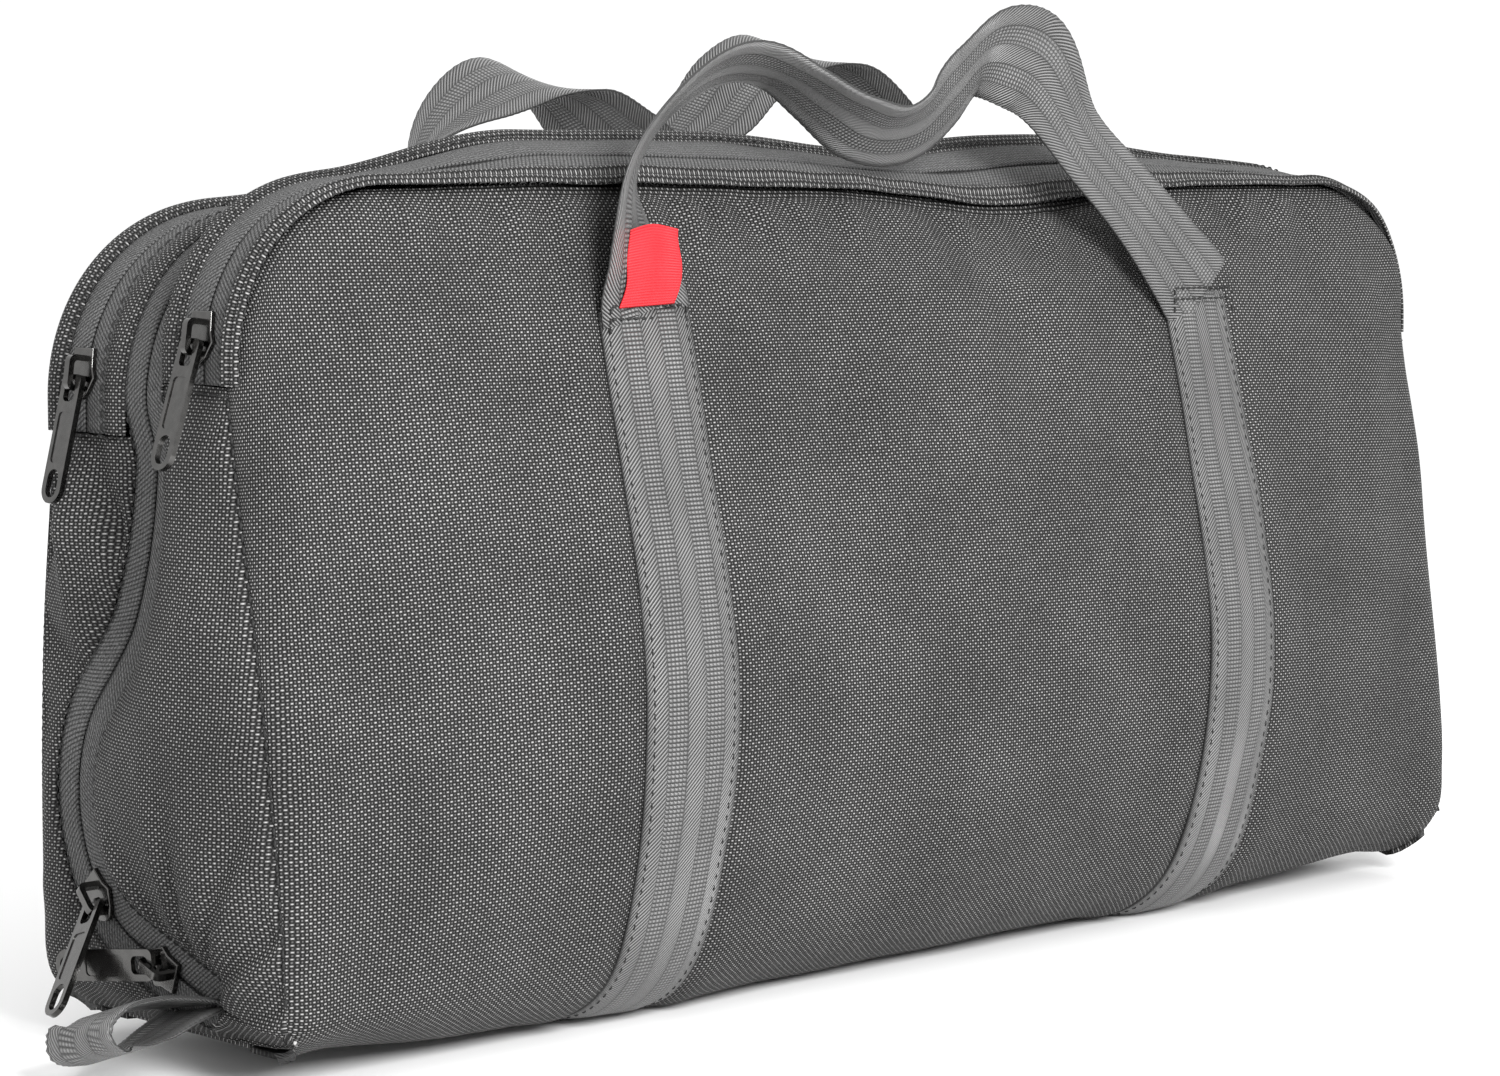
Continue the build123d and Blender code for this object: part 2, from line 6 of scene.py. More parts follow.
import bpy
import numpy as np
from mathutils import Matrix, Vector

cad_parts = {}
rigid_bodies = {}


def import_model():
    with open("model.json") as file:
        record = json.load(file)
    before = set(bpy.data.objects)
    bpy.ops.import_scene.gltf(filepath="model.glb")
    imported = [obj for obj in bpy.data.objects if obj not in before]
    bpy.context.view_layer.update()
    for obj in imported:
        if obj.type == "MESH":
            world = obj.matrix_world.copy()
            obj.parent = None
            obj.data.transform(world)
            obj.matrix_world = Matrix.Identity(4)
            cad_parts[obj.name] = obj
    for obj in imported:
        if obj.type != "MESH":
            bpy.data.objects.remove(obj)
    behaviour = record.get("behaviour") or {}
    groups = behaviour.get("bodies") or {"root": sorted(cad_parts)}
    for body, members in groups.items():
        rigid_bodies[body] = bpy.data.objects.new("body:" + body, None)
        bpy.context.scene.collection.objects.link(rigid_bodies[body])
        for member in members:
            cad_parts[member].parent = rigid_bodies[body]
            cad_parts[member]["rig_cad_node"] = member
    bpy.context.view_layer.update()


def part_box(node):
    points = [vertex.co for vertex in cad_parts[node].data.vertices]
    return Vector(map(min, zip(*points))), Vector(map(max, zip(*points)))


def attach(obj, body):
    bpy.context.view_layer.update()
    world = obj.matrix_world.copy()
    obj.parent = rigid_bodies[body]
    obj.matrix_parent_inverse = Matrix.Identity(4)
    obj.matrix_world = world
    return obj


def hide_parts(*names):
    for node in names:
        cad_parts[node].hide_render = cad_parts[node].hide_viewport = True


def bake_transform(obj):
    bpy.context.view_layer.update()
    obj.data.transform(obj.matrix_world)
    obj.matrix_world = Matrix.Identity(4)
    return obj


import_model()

MM = 0.001

# ---- camera: the photograph's own angle -----------------------------------------------------------
YAW, PITCH = math.radians(43.5), math.radians(5.4)
EYE = Vector((-0.789, -0.806, 0.225))
camera_data = bpy.data.cameras.new("camera")
camera_data.sensor_width = 36.0
camera_data.lens = 94.8
camera = bpy.data.objects.new("camera", camera_data)
bpy.context.scene.collection.objects.link(camera)
camera.location = EYE
camera.rotation_euler = (math.pi / 2 - PITCH, 0.0, -YAW)
bpy.context.scene.camera = camera


# ---- materials ------------------------------------------------------------------------------------
class Nodes:
    """A short way to write a node material."""

    def __init__(self, name):
        self.material = bpy.data.materials.new(name)
        self.material.use_nodes = True
        self.tree = self.material.node_tree
        self.tree.nodes.clear()
        self.out = self.tree.nodes.new("ShaderNodeOutputMaterial")
        self.bsdf = self.tree.nodes.new("ShaderNodeBsdfPrincipled")
        self.tree.links.new(self.bsdf.outputs[0], self.out.inputs[0])

    def put(self, socket, value):
        if isinstance(value, bpy.types.NodeSocket):
            self.tree.links.new(value, socket)
        elif value is not None:
            socket.default_value = value

    def node(self, kind, *values, **settings):
        n = self.tree.nodes.new(kind)
        for key, value in settings.items():
            setattr(n, key, value)
        for socket, value in zip(n.inputs, values):
            self.put(socket, value)
        return n

    def math(self, operation, a, b=None, c=None, clamp=False):
        return self.node("ShaderNodeMath", a, b, c, operation=operation, use_clamp=clamp).outputs[0]

    def times(self, *values):
        """The product of several values."""
        total = values[0]
        for value in values[1:]:
            total = self.math("MULTIPLY", total, value)
        return total

    def scaled(self, value, factor, offset):
        return self.math("MULTIPLY_ADD", value, factor, offset)

    def humps(self, length, pitch):
        """Round humps along a length, one to each pitch."""
        return self.math("SINE", self.times(self.math("FRACT", self.times(length, 1 / pitch)), math.pi))

    def uv(self):
        n = self.node("ShaderNodeUVMap", uv_map="UVMap")
        s = self.node("ShaderNodeSeparateXYZ", n.outputs[0])
        return s.outputs[0], s.outputs[1]

    def noise(self, scale, detail=2.0, roughness=0.5, vector=None):
        n = self.node("ShaderNodeTexNoise")
        n.inputs["Scale"].default_value = scale
        n.inputs["Detail"].default_value = detail
        n.inputs["Roughness"].default_value = roughness
        if vector is None:
            vector = self.node("ShaderNodeTexCoord").outputs["Object"]
        self.tree.links.new(vector, n.inputs["Vector"])
        return n.outputs[0]

    def mix(self, factor, a, b):
        n = self.node("ShaderNodeMix", data_type="RGBA")
        self.put(n.inputs[0], factor)
        self.put(n.inputs[6], a)
        self.put(n.inputs[7], b)
        return n.outputs[2]

    def bump(self, height, distance, strength=1.0):
        n = self.node("ShaderNodeBump")
        n.inputs["Strength"].default_value = strength
        n.inputs["Distance"].default_value = distance
        self.tree.links.new(height, n.inputs["Height"])
        self.tree.links.new(n.outputs[0], self.bsdf.inputs["Normal"])

    def set(self, **values):
        names = {"color": "Base Color", "rough": "Roughness", "metal": "Metallic", "sheen": "Sheen Weight",
                 "spec": "Specular IOR Level", "coat": "Coat Weight", "coat_rough": "Coat Roughness",
                 "sheen_rough": "Sheen Roughness"}
        for key, value in values.items():
            self.put(self.bsdf.inputs[names[key]], value)
        return self.material


def grey(v, warm=0.0):
    return (v * (1 + warm), v, v * (1 - warm), 1.0)


# Pitches of the threads, in metres
CANVAS_PITCH = (0.00100, 0.00084)
WEBBING_BAND, WEBBING_RIB, WEBBING_COLUMN = 0.0060, 0.00115, 0.00120
WEBBING_SLANT = (0.0011, 0.0012)
TAPE_CHEVRON, TAPE_COLUMN = (0.0017, 0.0013), 0.0011
COIL_TURN, FLAG_RIB, LINING_THREAD = 0.0018, 0.0007, 0.0007


def weave_cells(n, pitch_u, pitch_v, wobble=0.72):
    """Height, cell parity, place in the cell and cell number of a plain weave in the mesh's own UV metres."""
    u, v = n.uv()
    cu = n.scaled(u, 1 / pitch_u, n.times(n.noise(90.0, 2.0), wobble))
    cv = n.scaled(v, 1 / pitch_v, n.times(n.noise(61.0, 2.0), wobble))
    fu, fv = n.math("FRACT", cu), n.math("FRACT", cv)
    iu, iv = n.math("FLOOR", cu), n.math("FLOOR", cv)
    parity = n.math("PINGPONG", n.math("ADD", iu, iv), 1.0)
    hump_u = n.math("SINE", n.times(fu, math.pi))
    hump_v = n.math("SINE", n.times(fv, math.pi))
    # a thread that passes over is round across its width and arched along its length
    warp = n.times(n.math("POWER", hump_u, 0.6), n.math("POWER", hump_v, 1.1))
    weft = n.times(n.math("POWER", hump_v, 0.6), n.math("POWER", hump_u, 1.1))
    height = n.math("ADD", n.times(warp, parity), n.times(weft, n.math("SUBTRACT", 1.0, parity)))
    return height, parity, (fu, fv), (iu, iv)


def canvas_material(dark=0.0066, bright=0.352):
    """Coarse plain weave with painted light: a painted highlight on the thread crowns and painted shade in the
    gaps; each crossing a little different.
    """
    n = Nodes("canvas")
    height, parity, (fu, fv), (iu, iv) = weave_cells(n, *CANVAS_PITCH)
    along = n.math("ADD", n.times(fu, parity), n.times(fv, n.math("SUBTRACT", 1.0, parity)))
    strand = n.math("SINE", n.times(along, math.pi * 8))
    cell = n.node("ShaderNodeTexWhiteNoise", n.node("ShaderNodeCombineXYZ", iu, iv, 0.0).outputs[0])
    crown = n.math("POWER", height, 2.2)
    # painted light: the colour follows the weave's height, lighter on the crowns (painted highlight) and darker
    # in the gaps (painted shade); the cell and noise terms are random tone, and one way of thread is made lighter
    # than the other
    shade = n.times(n.scaled(crown, 0.75, 0.18), n.scaled(cell.outputs[0], 0.24, 0.88),
                    n.scaled(n.noise(28.0, 3.0), 0.5, 0.75), n.scaled(parity, 0.62, 0.55))
    colour = n.mix(n.math("POWER", shade, 1.9), grey(dark), grey(bright, 0.01))
    n.bump(n.scaled(strand, 0.05, height), 0.00045)
    return n.set(color=colour, rough=n.scaled(crown, -0.18, 0.62), spec=0.10)


def webbing_material(dark=0.005, bright=0.20):
    """Webbing in bands, ribbed and slanted in turn: u runs across its width, v along it."""
    n = Nodes("webbing")
    u, v = n.uv()
    band = n.times(u, 1 / WEBBING_BAND)
    across, ribbed = n.math("FRACT", band), n.math("PINGPONG", n.math("FLOOR", band), 1.0)
    slanted = n.math("FRACT", n.scaled(v, 1 / WEBBING_SLANT[1], n.times(u, 1 / WEBBING_SLANT[0])))
    slant = n.math("SINE", n.times(slanted, math.pi))
    plain = n.times(n.math("POWER", n.humps(v, WEBBING_RIB), 0.7),
                    n.scaled(n.humps(u, WEBBING_COLUMN), 0.6, 0.4))
    weave = n.math("ADD", n.times(plain, ribbed), n.times(slant, n.math("SUBTRACT", 1.0, ribbed)))
    groove = n.math("POWER", n.math("SINE", n.times(across, math.pi)), 0.13)
    height = n.times(weave, groove)
    # painted light: the colour follows the weave's height, so the ribs carry a painted highlight and the grooves
    # between the bands painted shade; the noise is random tone
    shade = n.times(n.scaled(n.math("POWER", height, 1.6), 0.8, 0.2), n.scaled(n.noise(45.0, 3.0), 0.5, 0.75))
    colour = n.mix(n.math("POWER", shade, 1.5), grey(dark), grey(bright, 0.005))
    n.bump(height, 0.0005)
    return n.set(color=colour, rough=0.36, spec=0.45, sheen=0.02)


def tape_material(dark=0.004, bright=0.30):
    """Fuzzy twill with a herringbone either side of the slit; u is measured from the slit."""
    n = Nodes("zip_tape")
    u, v = n.uv()
    away = n.times(n.math("ABSOLUTE", u), 1 / TAPE_CHEVRON[0])
    twill = n.math("SINE", n.times(n.math("FRACT", n.scaled(v, 1 / TAPE_CHEVRON[1], away)), math.pi))
    fuzz = n.math("MULTIPLY_ADD", n.noise(2100.0, 3.0, 0.7), 3.0, -1.0, clamp=True)
    height = n.math("ADD", n.times(twill, n.scaled(n.humps(u, TAPE_COLUMN), 0.5, 0.5)), n.times(fuzz, 0.8))
    # painted light: the colour follows the height, so the raised twill carries a painted highlight and its
    # hollows painted shade; the fuzz adds random tone
    colour = n.mix(n.math("POWER", n.times(height, 0.5), 1.7), grey(dark), grey(bright))
    n.bump(height, 0.00035)
    return n.set(color=colour, rough=0.75, spec=0.2, sheen=0.05, sheen_rough=0.4)


def coil_material():
    n = Nodes("zip_coil")
    n.bump(n.humps(n.uv()[1], COIL_TURN), 0.0006)
    return n.set(color=grey(0.012), rough=0.4)


def gunmetal_material():
    n = Nodes("zip_metal")
    scuff = n.noise(420.0, 5.0, 0.65)
    fine = n.noise(2400.0, 2.0, 0.5)
    colour = n.mix(scuff, (0.045, 0.044, 0.043, 1), (0.12, 0.118, 0.114, 1))
    n.bump(n.math("ADD", scuff, n.times(fine, 0.3)), 0.00006, 0.6)
    return n.set(color=colour, rough=n.scaled(scuff, 0.20, 0.10), metal=1.0, coat=0.35, coat_rough=0.08)


def thread_material():
    n = Nodes("thread")
    n.bump(n.noise(3000.0, 2.0), 0.0001, 0.8)
    return n.set(color=grey(0.014), rough=0.55, spec=0.25)


def lining_material():
    """Thin woven lining with soft wrinkles."""
    n = Nodes("lining")
    s = n.node("ShaderNodeSeparateXYZ", n.node("ShaderNodeTexCoord").outputs["Object"])
    a = n.math("SINE", n.times(s.outputs[0], math.pi * 2 / LINING_THREAD))
    b = n.math("SINE", n.times(s.outputs[2], math.pi * 2 / LINING_THREAD))
    soft = n.noise(16.0, 4.0)
    n.bump(n.math("ADD", n.times(a, b, 0.05), soft), 0.004, 0.6)
    # painted shade: the colour follows the wrinkles' height, darker in their hollows
    return n.set(color=n.mix(soft, grey(0.02), grey(0.05)), rough=0.55, spec=0.5)


def flag_material():
    n = Nodes("flag")
    n.bump(n.humps(n.uv()[1], FLAG_RIB), 0.00025)
    worn = n.scaled(n.noise(160.0, 4.0), 0.5, 0.25)
    return n.set(color=n.mix(worn, (0.48, 0.012, 0.018, 1), (0.78, 0.035, 0.045, 1)), rough=0.5, spec=0.25)


def sack_material():
    n = Nodes("sack")
    soft = n.noise(22.0, 4.0)
    n.bump(n.math("ADD", soft, n.times(n.noise(1500.0, 2.0), 0.05)), 0.003, 0.7)
    # painted shade: the colour follows the wrinkles' height, darker in their hollows
    return n.set(color=n.mix(soft, grey(0.006), grey(0.02)), rough=0.7, sheen=0.25)


CANVAS = canvas_material()
WEBBING = webbing_material()
TAPE = tape_material()
COIL = coil_material()
METAL = gunmetal_material()
THREAD = thread_material()
LINING = lining_material()
FLAG = flag_material()
SACK = sack_material()


# ---- mesh helpers (everything below is worked out in millimetres) -----------------------------------
def unit(v):
    return v / np.maximum(np.linalg.norm(v, axis=-1, keepdims=True), 1e-9)


def smooth(a, b, x):
    t = np.clip((x - a) / (b - a), 0, 1)
    return t * t * (3 - 2 * t)


def run_length(points):
    """The length along a polyline to each of its points."""
    return np.r_[0, np.cumsum(np.linalg.norm(np.diff(points, axis=0), axis=1))]


def cloth_uv(u, v):
    """UV of a grid whose two coordinates are given as a row and a column."""
    return np.stack(np.broadcast_arrays(u, v), -1)


def bell(x, width):
    return np.exp(-((x / width) ** 2))


def waves(seed, count, low, high):
    """A smooth random function of two variables in mm, about +-1, with wavelengths from low to high."""
    rng = np.random.default_rng(seed)
    lengths = rng.uniform(low, high, count)
    angles = rng.uniform(0, 2 * math.pi, count)
    phases = rng.uniform(0, 2 * math.pi, count)

    def at(a, b):
        total = 0.0
        for length, angle, phase in zip(lengths, angles, phases):
            total = total + np.sin((a * math.cos(angle) + b * math.sin(angle)) * 2 * math.pi / length + phase)
        return total / math.sqrt(count)

    return at


def new_object(name, verts, faces, uvs=None, materials=(CANVAS,), face_material=None):
    """A smooth mesh object from millimetres, with its UV map in metres of cloth."""
    mesh = bpy.data.meshes.new(name)
    mesh.from_pydata((np.asarray(verts) * MM).tolist(), [], [tuple(f) for f in faces])
    for material in materials:
        mesh.materials.append(material)
    if uvs is not None:
        layer = mesh.uv_layers.new(name="UVMap")
        index = np.zeros(len(mesh.loops), int)
        mesh.loops.foreach_get("vertex_index", index)
        layer.data.foreach_set("uv", (np.asarray(uvs)[index] * MM).astype(np.float32).ravel())
    if face_material is not None:
        mesh.polygons.foreach_set("material_index", np.asarray(face_material, np.int32))
    mesh.polygons.foreach_set("use_smooth", np.ones(len(mesh.polygons), bool))
    mesh.update()
    obj = bpy.data.objects.new(name, mesh)
    bpy.context.scene.collection.objects.link(obj)
    return obj


def grid_normals(p):
    return unit(np.cross(np.gradient(p, axis=0), np.gradient(p, axis=1)))


def grid_faces(nu, nv, start=0, flip=False):
    i, j = np.meshgrid(np.arange(nu - 1), np.arange(nv - 1), indexing="ij")
    a = start + i * nv + j
    quads = np.stack([a, a + nv, a + nv + 1, a + 1], -1).reshape(-1, 4)
    return quads[:, ::-1] if flip else quads


def shell(name, p, uv, thickness=1.4, out=None, materials=(CANVAS, LINING)):
    """A grid of cloth with thickness. out is a rough outward direction, or away from the bag's middle."""
    nu, nv = p.shape[:2]
    n = grid_normals(p)
    out = p - np.array([0.0, 5.0, 110.0]) if out is None else np.asarray(out)
    flip = float((n * out).sum(-1).mean()) < 0
    if flip:
        n = -n
    inner = p - n * thickness
    verts = np.concatenate([p.reshape(-1, 3), inner.reshape(-1, 3)])
    uvs = np.concatenate([uv.reshape(-1, 2), uv.reshape(-1, 2)])
    outer_faces = grid_faces(nu, nv, 0, flip)
    inner_faces = grid_faces(nu, nv, nu * nv, not flip)
    ring = ([i * nv for i in range(nu)] + [(nu - 1) * nv + j for j in range(1, nv)]
            + [i * nv + nv - 1 for i in range(nu - 2, -1, -1)] + [j for j in range(nv - 2, 0, -1)])
    edge = []
    for a, b in zip(ring, ring[1:] + ring[:1]):
        quad = (a, b, b + nu * nv, a + nu * nv)
        edge.append(quad[::-1] if not flip else quad)
    faces = [*map(tuple, outer_faces), *map(tuple, inner_faces), *edge]
    index = [0] * len(outer_faces) + [1] * len(inner_faces) + [0] * len(edge)
    return new_object(name, verts, faces, uvs, materials, index)


def ribbon(name, middle, across, normal, width=30.0, thickness=1.3, lanes=13, notch=0.10):
    """Webbing: a band with rounded selvedges swept along frames; u runs across and v along."""
    t = np.linspace(-1, 1, lanes)
    half = thickness / 2 * np.clip(1.0 - np.abs(t) ** 14 * 0.55, 0.2, 1)
    rows = len(middle)
    steps = run_length(middle)
    ring_t, ring_h = np.r_[t, t[::-1]], np.r_[half, -half]
    count = len(ring_t)
    # the selvedge is notched by turns of its weft
    tooth = notch * np.where(np.arange(rows) % 2 == 0, 1.0, -1.0)
    rim = (np.abs(ring_t) > 0.999) * np.sign(ring_t)
    side = ring_t * width / 2
    reach = side[None, :] + rim[None, :] * tooth[:, None]
    verts = (middle[:, None, :] + across[:, None, :] * reach[..., None]
             + normal[:, None, :] * ring_h[None, :, None])
    uvs = cloth_uv(side[None, :] + width / 2, steps[:, None])
    faces = []
    for i in range(rows - 1):
        for j in range(count):
            a, b = i * count + j, i * count + (j + 1) % count
            faces.append((a, b, b + count, a + count))
    faces.append(tuple(range(count))[::-1])
    faces.append(tuple((rows - 1) * count + j for j in range(count)))
    return new_object(name, verts.reshape(-1, 3), faces, uvs.reshape(-1, 2), (WEBBING,))


def stitch_rows(name, rows, length=2.4, gap=0.9, radius=0.26, lift=0.12):
    """Sewn stitches along polylines; rows is a list of (points, normals)."""
    verts, faces = [], []
    sides = 6
    shape = np.array([0.25, 0.9, 1.0, 0.9, 0.25])  # thickness along one stitch
    rise = np.array([-0.30, 0.08, 0.16, 0.08, -0.30]) * 1.2 + lift
    stations = len(shape)
    for points, normals in rows:
        points, normals = np.asarray(points, float), unit(np.asarray(normals, float))
        s = run_length(points)
        at = gap / 2
        while at + length < s[-1]:
            ts = np.linspace(at, at + length, stations)
            mid = np.stack([np.interp(ts, s, points[:, k]) for k in range(3)], -1)
            nor = unit(np.stack([np.interp(ts, s, normals[:, k]) for k in range(3)], -1))
            tang = unit(np.gradient(mid, axis=0))
            side = unit(np.cross(tang, nor))
            base = len(verts)
            for k in range(stations):
                for m in range(sides):
                    a = 2 * math.pi * m / sides
                    verts.append(mid[k] + nor[k] * (rise[k] + radius * shape[k] * math.sin(a))
                                 + side[k] * radius * shape[k] * math.cos(a) * 1.25)
            for k in range(stations - 1):
                for m in range(sides):
                    a, b = base + k * sides + m, base + k * sides + (m + 1) % sides
                    faces.append((a, b, b + sides, a + sides))
            faces.append(tuple(base + m for m in range(sides))[::-1])
            faces.append(tuple(base + (stations - 1) * sides + m for m in range(sides)))
            at += length + gap
    return new_object(name, verts, faces, None, (THREAD,))


def spline(points, count, samples=60):
    """A smooth curve through points, evenly spaced."""
    p = np.asarray(points, float)
    s = np.r_[0, np.cumsum(np.maximum(np.linalg.norm(np.diff(p[:, :3], axis=0), axis=1), 1e-6))]
    gaps = np.diff(s)[:, None]
    slopes = np.diff(p, axis=0) / gaps
    m = np.zeros_like(p)
    m[1:-1] = (slopes[1:] * gaps[:-1] + slopes[:-1] * gaps[1:]) / (s[2:] - s[:-2])[:, None]
    m[0], m[-1] = slopes[0], slopes[-1]
    x = np.linspace(0, s[-1], samples * len(p))
    i = np.clip(np.searchsorted(s, x, side="right") - 1, 0, len(s) - 2)
    h = gaps[i]
    t = (x - s[i])[:, None] / h
    fine = ((2 * t**3 - 3 * t**2 + 1) * p[i] + (t**3 - 2 * t**2 + t) * h * m[i]
            + (-2 * t**3 + 3 * t**2) * p[i + 1] + (t**3 - t**2) * h * m[i + 1])
    length = run_length(fine[:, :3])
    even = np.linspace(0, length[-1], count)
    return np.stack([np.interp(even, length, fine[:, k]) for k in range(p.shape[1])], -1)


# ---- the bag's surfaces -------------------------------------------------------------------------------
HALF = 228.0
FRONT_TOP, FRONT_CORNER = 222.0, 45.0
REAR_TOP, REAR_CORNER = 214.0, 48.0

# (y, z) from the top seam, over the belly, round the lower edge to the underside
FRONT_MIDDLE = spline([(-34.5, 220.5), (-45, 203), (-57, 168), (-66, 128), (-70.5, 92), (-69, 58), (-62, 32),
                       (-50, 12), (-36, 3.2), (-24, 0.8)], 96)
FRONT_END = spline([(-34.0, 220.5), (-36.5, 196), (-40.5, 160), (-45, 125), (-49, 90), (-52.5, 58), (-54.5, 34),
                    (-54.5, 17), (-44, 4.5), (-26, 1.0)], 96)
REAR_MIDDLE = spline([(42.5, 212.5), (50, 196), (58, 165), (64, 128), (66.0, 92), (64, 58), (58, 32), (48, 13),
                      (37, 3.2), (24, 0.8)], 96)
REAR_END = spline([(42.0, 212.5), (44.5, 190), (47.5, 158), (50, 125), (51.5, 90), (52, 58), (51.5, 34),
                   (50, 17), (42, 4.5), (26, 1.0)], 96)
STRAP_X, WEB = 110.0, 30.0

folds_low = waves(3, 7, 90, 210)
folds_mid = waves(5, 9, 34, 80)
folds_small = waves(9, 9, 14, 30)


def columns():
    corner = 183 + 45 * np.sin(np.linspace(0, math.pi / 2, 22))[1:]
    corner[-1] = HALF
    middle = np.linspace(-183, 183, 165)
    return np.r_[-corner[::-1], middle, corner]


def corner_drop(x, top, corner):
    """Height of the top seam at x."""
    over = np.clip(np.abs(x) - (HALF - corner), 0, corner)
    return top - corner + np.sqrt(np.maximum(corner**2 - over**2, 0))


# Creases under the top seam: (x, length, half width, depth, slant)
FRONT_CREASES = [(-188, 26, 5, 0.8, 0.4), (-170, 36, 6, 1.0, 0.2), (-148, 28, 5, 0.9, -0.1),
                 (-132, 46, 7, 1.4, -0.2), (-92, 46, 6, 1.8, 0.15), (-80, 34, 4.5, 1.2, 0.3),
                 (-66, 52, 7, 1.5, 0.25), (-52, 30, 5, 1.0, 0.2), (-34, 44, 8, 1.3, 0.1), (-14, 34, 6, 1.1, -0.1),
                 (8, 60, 9, 1.8, 0.45), (26, 34, 5, 1.2, 0.2), (48, 48, 7, 1.5, -0.1), (66, 30, 5, 1.0, 0.0),
                 (92, 40, 6, 1.5, -0.2), (128, 44, 7, 1.6, -0.3), (142, 62, 9, 2.1, -0.45),
                 (160, 48, 7, 1.7, -0.5), (176, 34, 6, 1.2, -0.4)]
REAR_CREASES = [(-150, 44, 7, 1.5, 0.2), (-128, 36, 6, 1.2, 0.1), (-90, 50, 7, 1.6, -0.2), (-60, 34, 6, 1.2, 0.2),
                (-20, 48, 9, 1.4, 0.3), (22, 38, 7, 1.3, -0.2), (64, 48, 7, 1.5, -0.2), (90, 34, 6, 1.2, 0.1),
                (128, 46, 8, 1.6, 0.3), (158, 38, 6, 1.2, 0.3)]


def big_panel(middle, end, top, corner, creases, side, seed):
    """A large panel with its belly, creases and the dip at its sewn edges: points (column, row) and uv."""
    x = columns()
    share = (1 - (np.abs(x) / HALF) ** 2.3) ** 0.62
    share = np.clip(share, 0, 1)
    y = end[None, :, 0] + share[:, None] * (middle - end)[None, :, 0]
    z = end[None, :, 1] + share[:, None] * (middle - end)[None, :, 1]
    z_top = corner_drop(x, top, corner) - 1.5
    high = smooth(0.0, 1.0, z / (top - 1.5))
    z = z * (1 + (z_top[:, None] / (top - 1.5) - 1) * high)
    grid_x = np.broadcast_to(x[:, None], y.shape).copy()
    # lower corners are rounded, seen from the front
    low = 1 - smooth(0, 26, z)
    grid_x = np.sign(grid_x) * (np.abs(grid_x) - 9.0 * low**2 * (np.abs(grid_x) / HALF) ** 6)
    p = np.stack([grid_x, y, z], -1)
    steps = np.linalg.norm(np.diff(p, axis=1), axis=2)
    v = -np.concatenate([np.zeros((len(x), 1)), np.cumsum(steps, axis=1)], axis=1) + z_top[:, None]
    across = np.cumsum(np.pad(np.linalg.norm(np.diff(p, axis=0), axis=2), ((1, 0), (0, 0))), axis=0)
    uv = np.stack([across - across[len(x) // 2], v], -1)  # cloth lengths, so the weave keeps its size
    n = grid_normals(p)
    if (n[..., 1] * side).mean() < 0:
        n = -n
    down = z_top[:, None] - v  # distance along the cloth from the top seam
    bump = folds_low(grid_x + seed * 37, v)
    bump += 0.55 * folds_mid(grid_x, v + seed * 53) * (0.4 + 0.6 * smooth(120, 20, down))
    bump += 0.16 * folds_small(grid_x + 11 * seed, v) * smooth(90, 10, down)
    for cx, length, half, depth, slant in creases:
        off = grid_x - cx - slant * down
        spread = half * (0.55 + down / length)
        fade = bell(down, length) * smooth(0, 7, down)
        bump += -depth * fade * (bell(off, spread) - 0.55 * bell(off - 1.7 * spread, spread)
                                 - 0.45 * bell(off + 1.7 * spread, spread))
    # slack cloth gathered where the strap pulls round the lower edge, and long shallow rolls at the foot
    bump += 0.8 * bell(v - 40, 26) * np.sin(grid_x / 31 + seed)
    edge = HALF - np.abs(grid_x)
    seam = 2.0 * bell(edge, 2.4) + 1.6 * bell(down, 2.6)
    swell = 1.6 * bell(edge - 9, 8) + 1.3 * bell(down - 9, 8)
    # straps are sewn down along both edges, so the cloth dips under their edges
    for cx in (-STRAP_X, STRAP_X):
        for way_out in (-1, 1):
            off = grid_x - (cx + way_out * 13.5)
            bump -= 0.9 * bell(off, 3.2) * smooth(30, 40, down)
            swell += 0.7 * bell(off - way_out * 9, 6) * smooth(30, 44, down)
    fix = smooth(0, 6, edge) * smooth(0, 5, down)
    way = n.copy()
    way[..., 0] *= smooth(0, 14, edge)  # at the side seams the cloth moves straight in and out
    p = p + unit(way) * (bump * fix + swell * smooth(0, 5, edge) - seam)[..., None]
    p[..., 2] = np.maximum(p[..., 2], 0.25)
    return p, uv


front_p, front_uv = big_panel(FRONT_MIDDLE, FRONT_END, FRONT_TOP, FRONT_CORNER, FRONT_CREASES, -1, 1)
rear_p, rear_uv = big_panel(REAR_MIDDLE, REAR_END, REAR_TOP, REAR_CORNER, REAR_CREASES, 1, 2)


def settle(p):
    """The bag's own sags and swells: the top crowns behind the front seam and dips right of the middle."""
    q = np.array(p, float)
    x, y, z = q[..., 0], q[..., 1], q[..., 2]
    up = smooth(120, 215, z)
    high = smooth(188, 219, z)
    drop = 1.2 + 1.2 * smooth(-110, -40, x) + 5.5 * bell(x - 45, 45)
    drop = drop * smooth(228, 180, np.abs(x))
    crown = 11.0 - 4.2 * bell(x - 8, 40) - 5.5 * smooth(80, 150, x)
    crown = crown * smooth(-192, -120, x) * smooth(228, 130, x)
    back = np.clip((y + 36) / 26, 0, 1) ** 0.85
    q[..., 2] = z + high * (crown * back * (1 - 0.55 * smooth(0, 44, y)) - drop * (1 - back))
    q[..., 2] += 5.5 * smooth(150, 228, x) * (1 - smooth(0, 70, z))
    q[..., 2] += 7.0 * smooth(140, 228, -x) * (1 - smooth(0, 19, z))
    q[..., 1] = y + up * 2.0 * np.sin((x + 40) / 70) * smooth(228, 190, np.abs(x))
    return q


def rides(obj, body, *nodes, slot=None):
    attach(obj, body)
    if nodes:
        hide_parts(*nodes)


cloth_front = shell("cloth_front", settle(front_p), front_uv, out=(0, -1, 0))
cloth_rear = shell("cloth_rear", settle(rear_p), rear_uv, out=(0, 1, 0))
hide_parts("front_panel", "front_lining")
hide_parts("back_panel", "rear_lining")


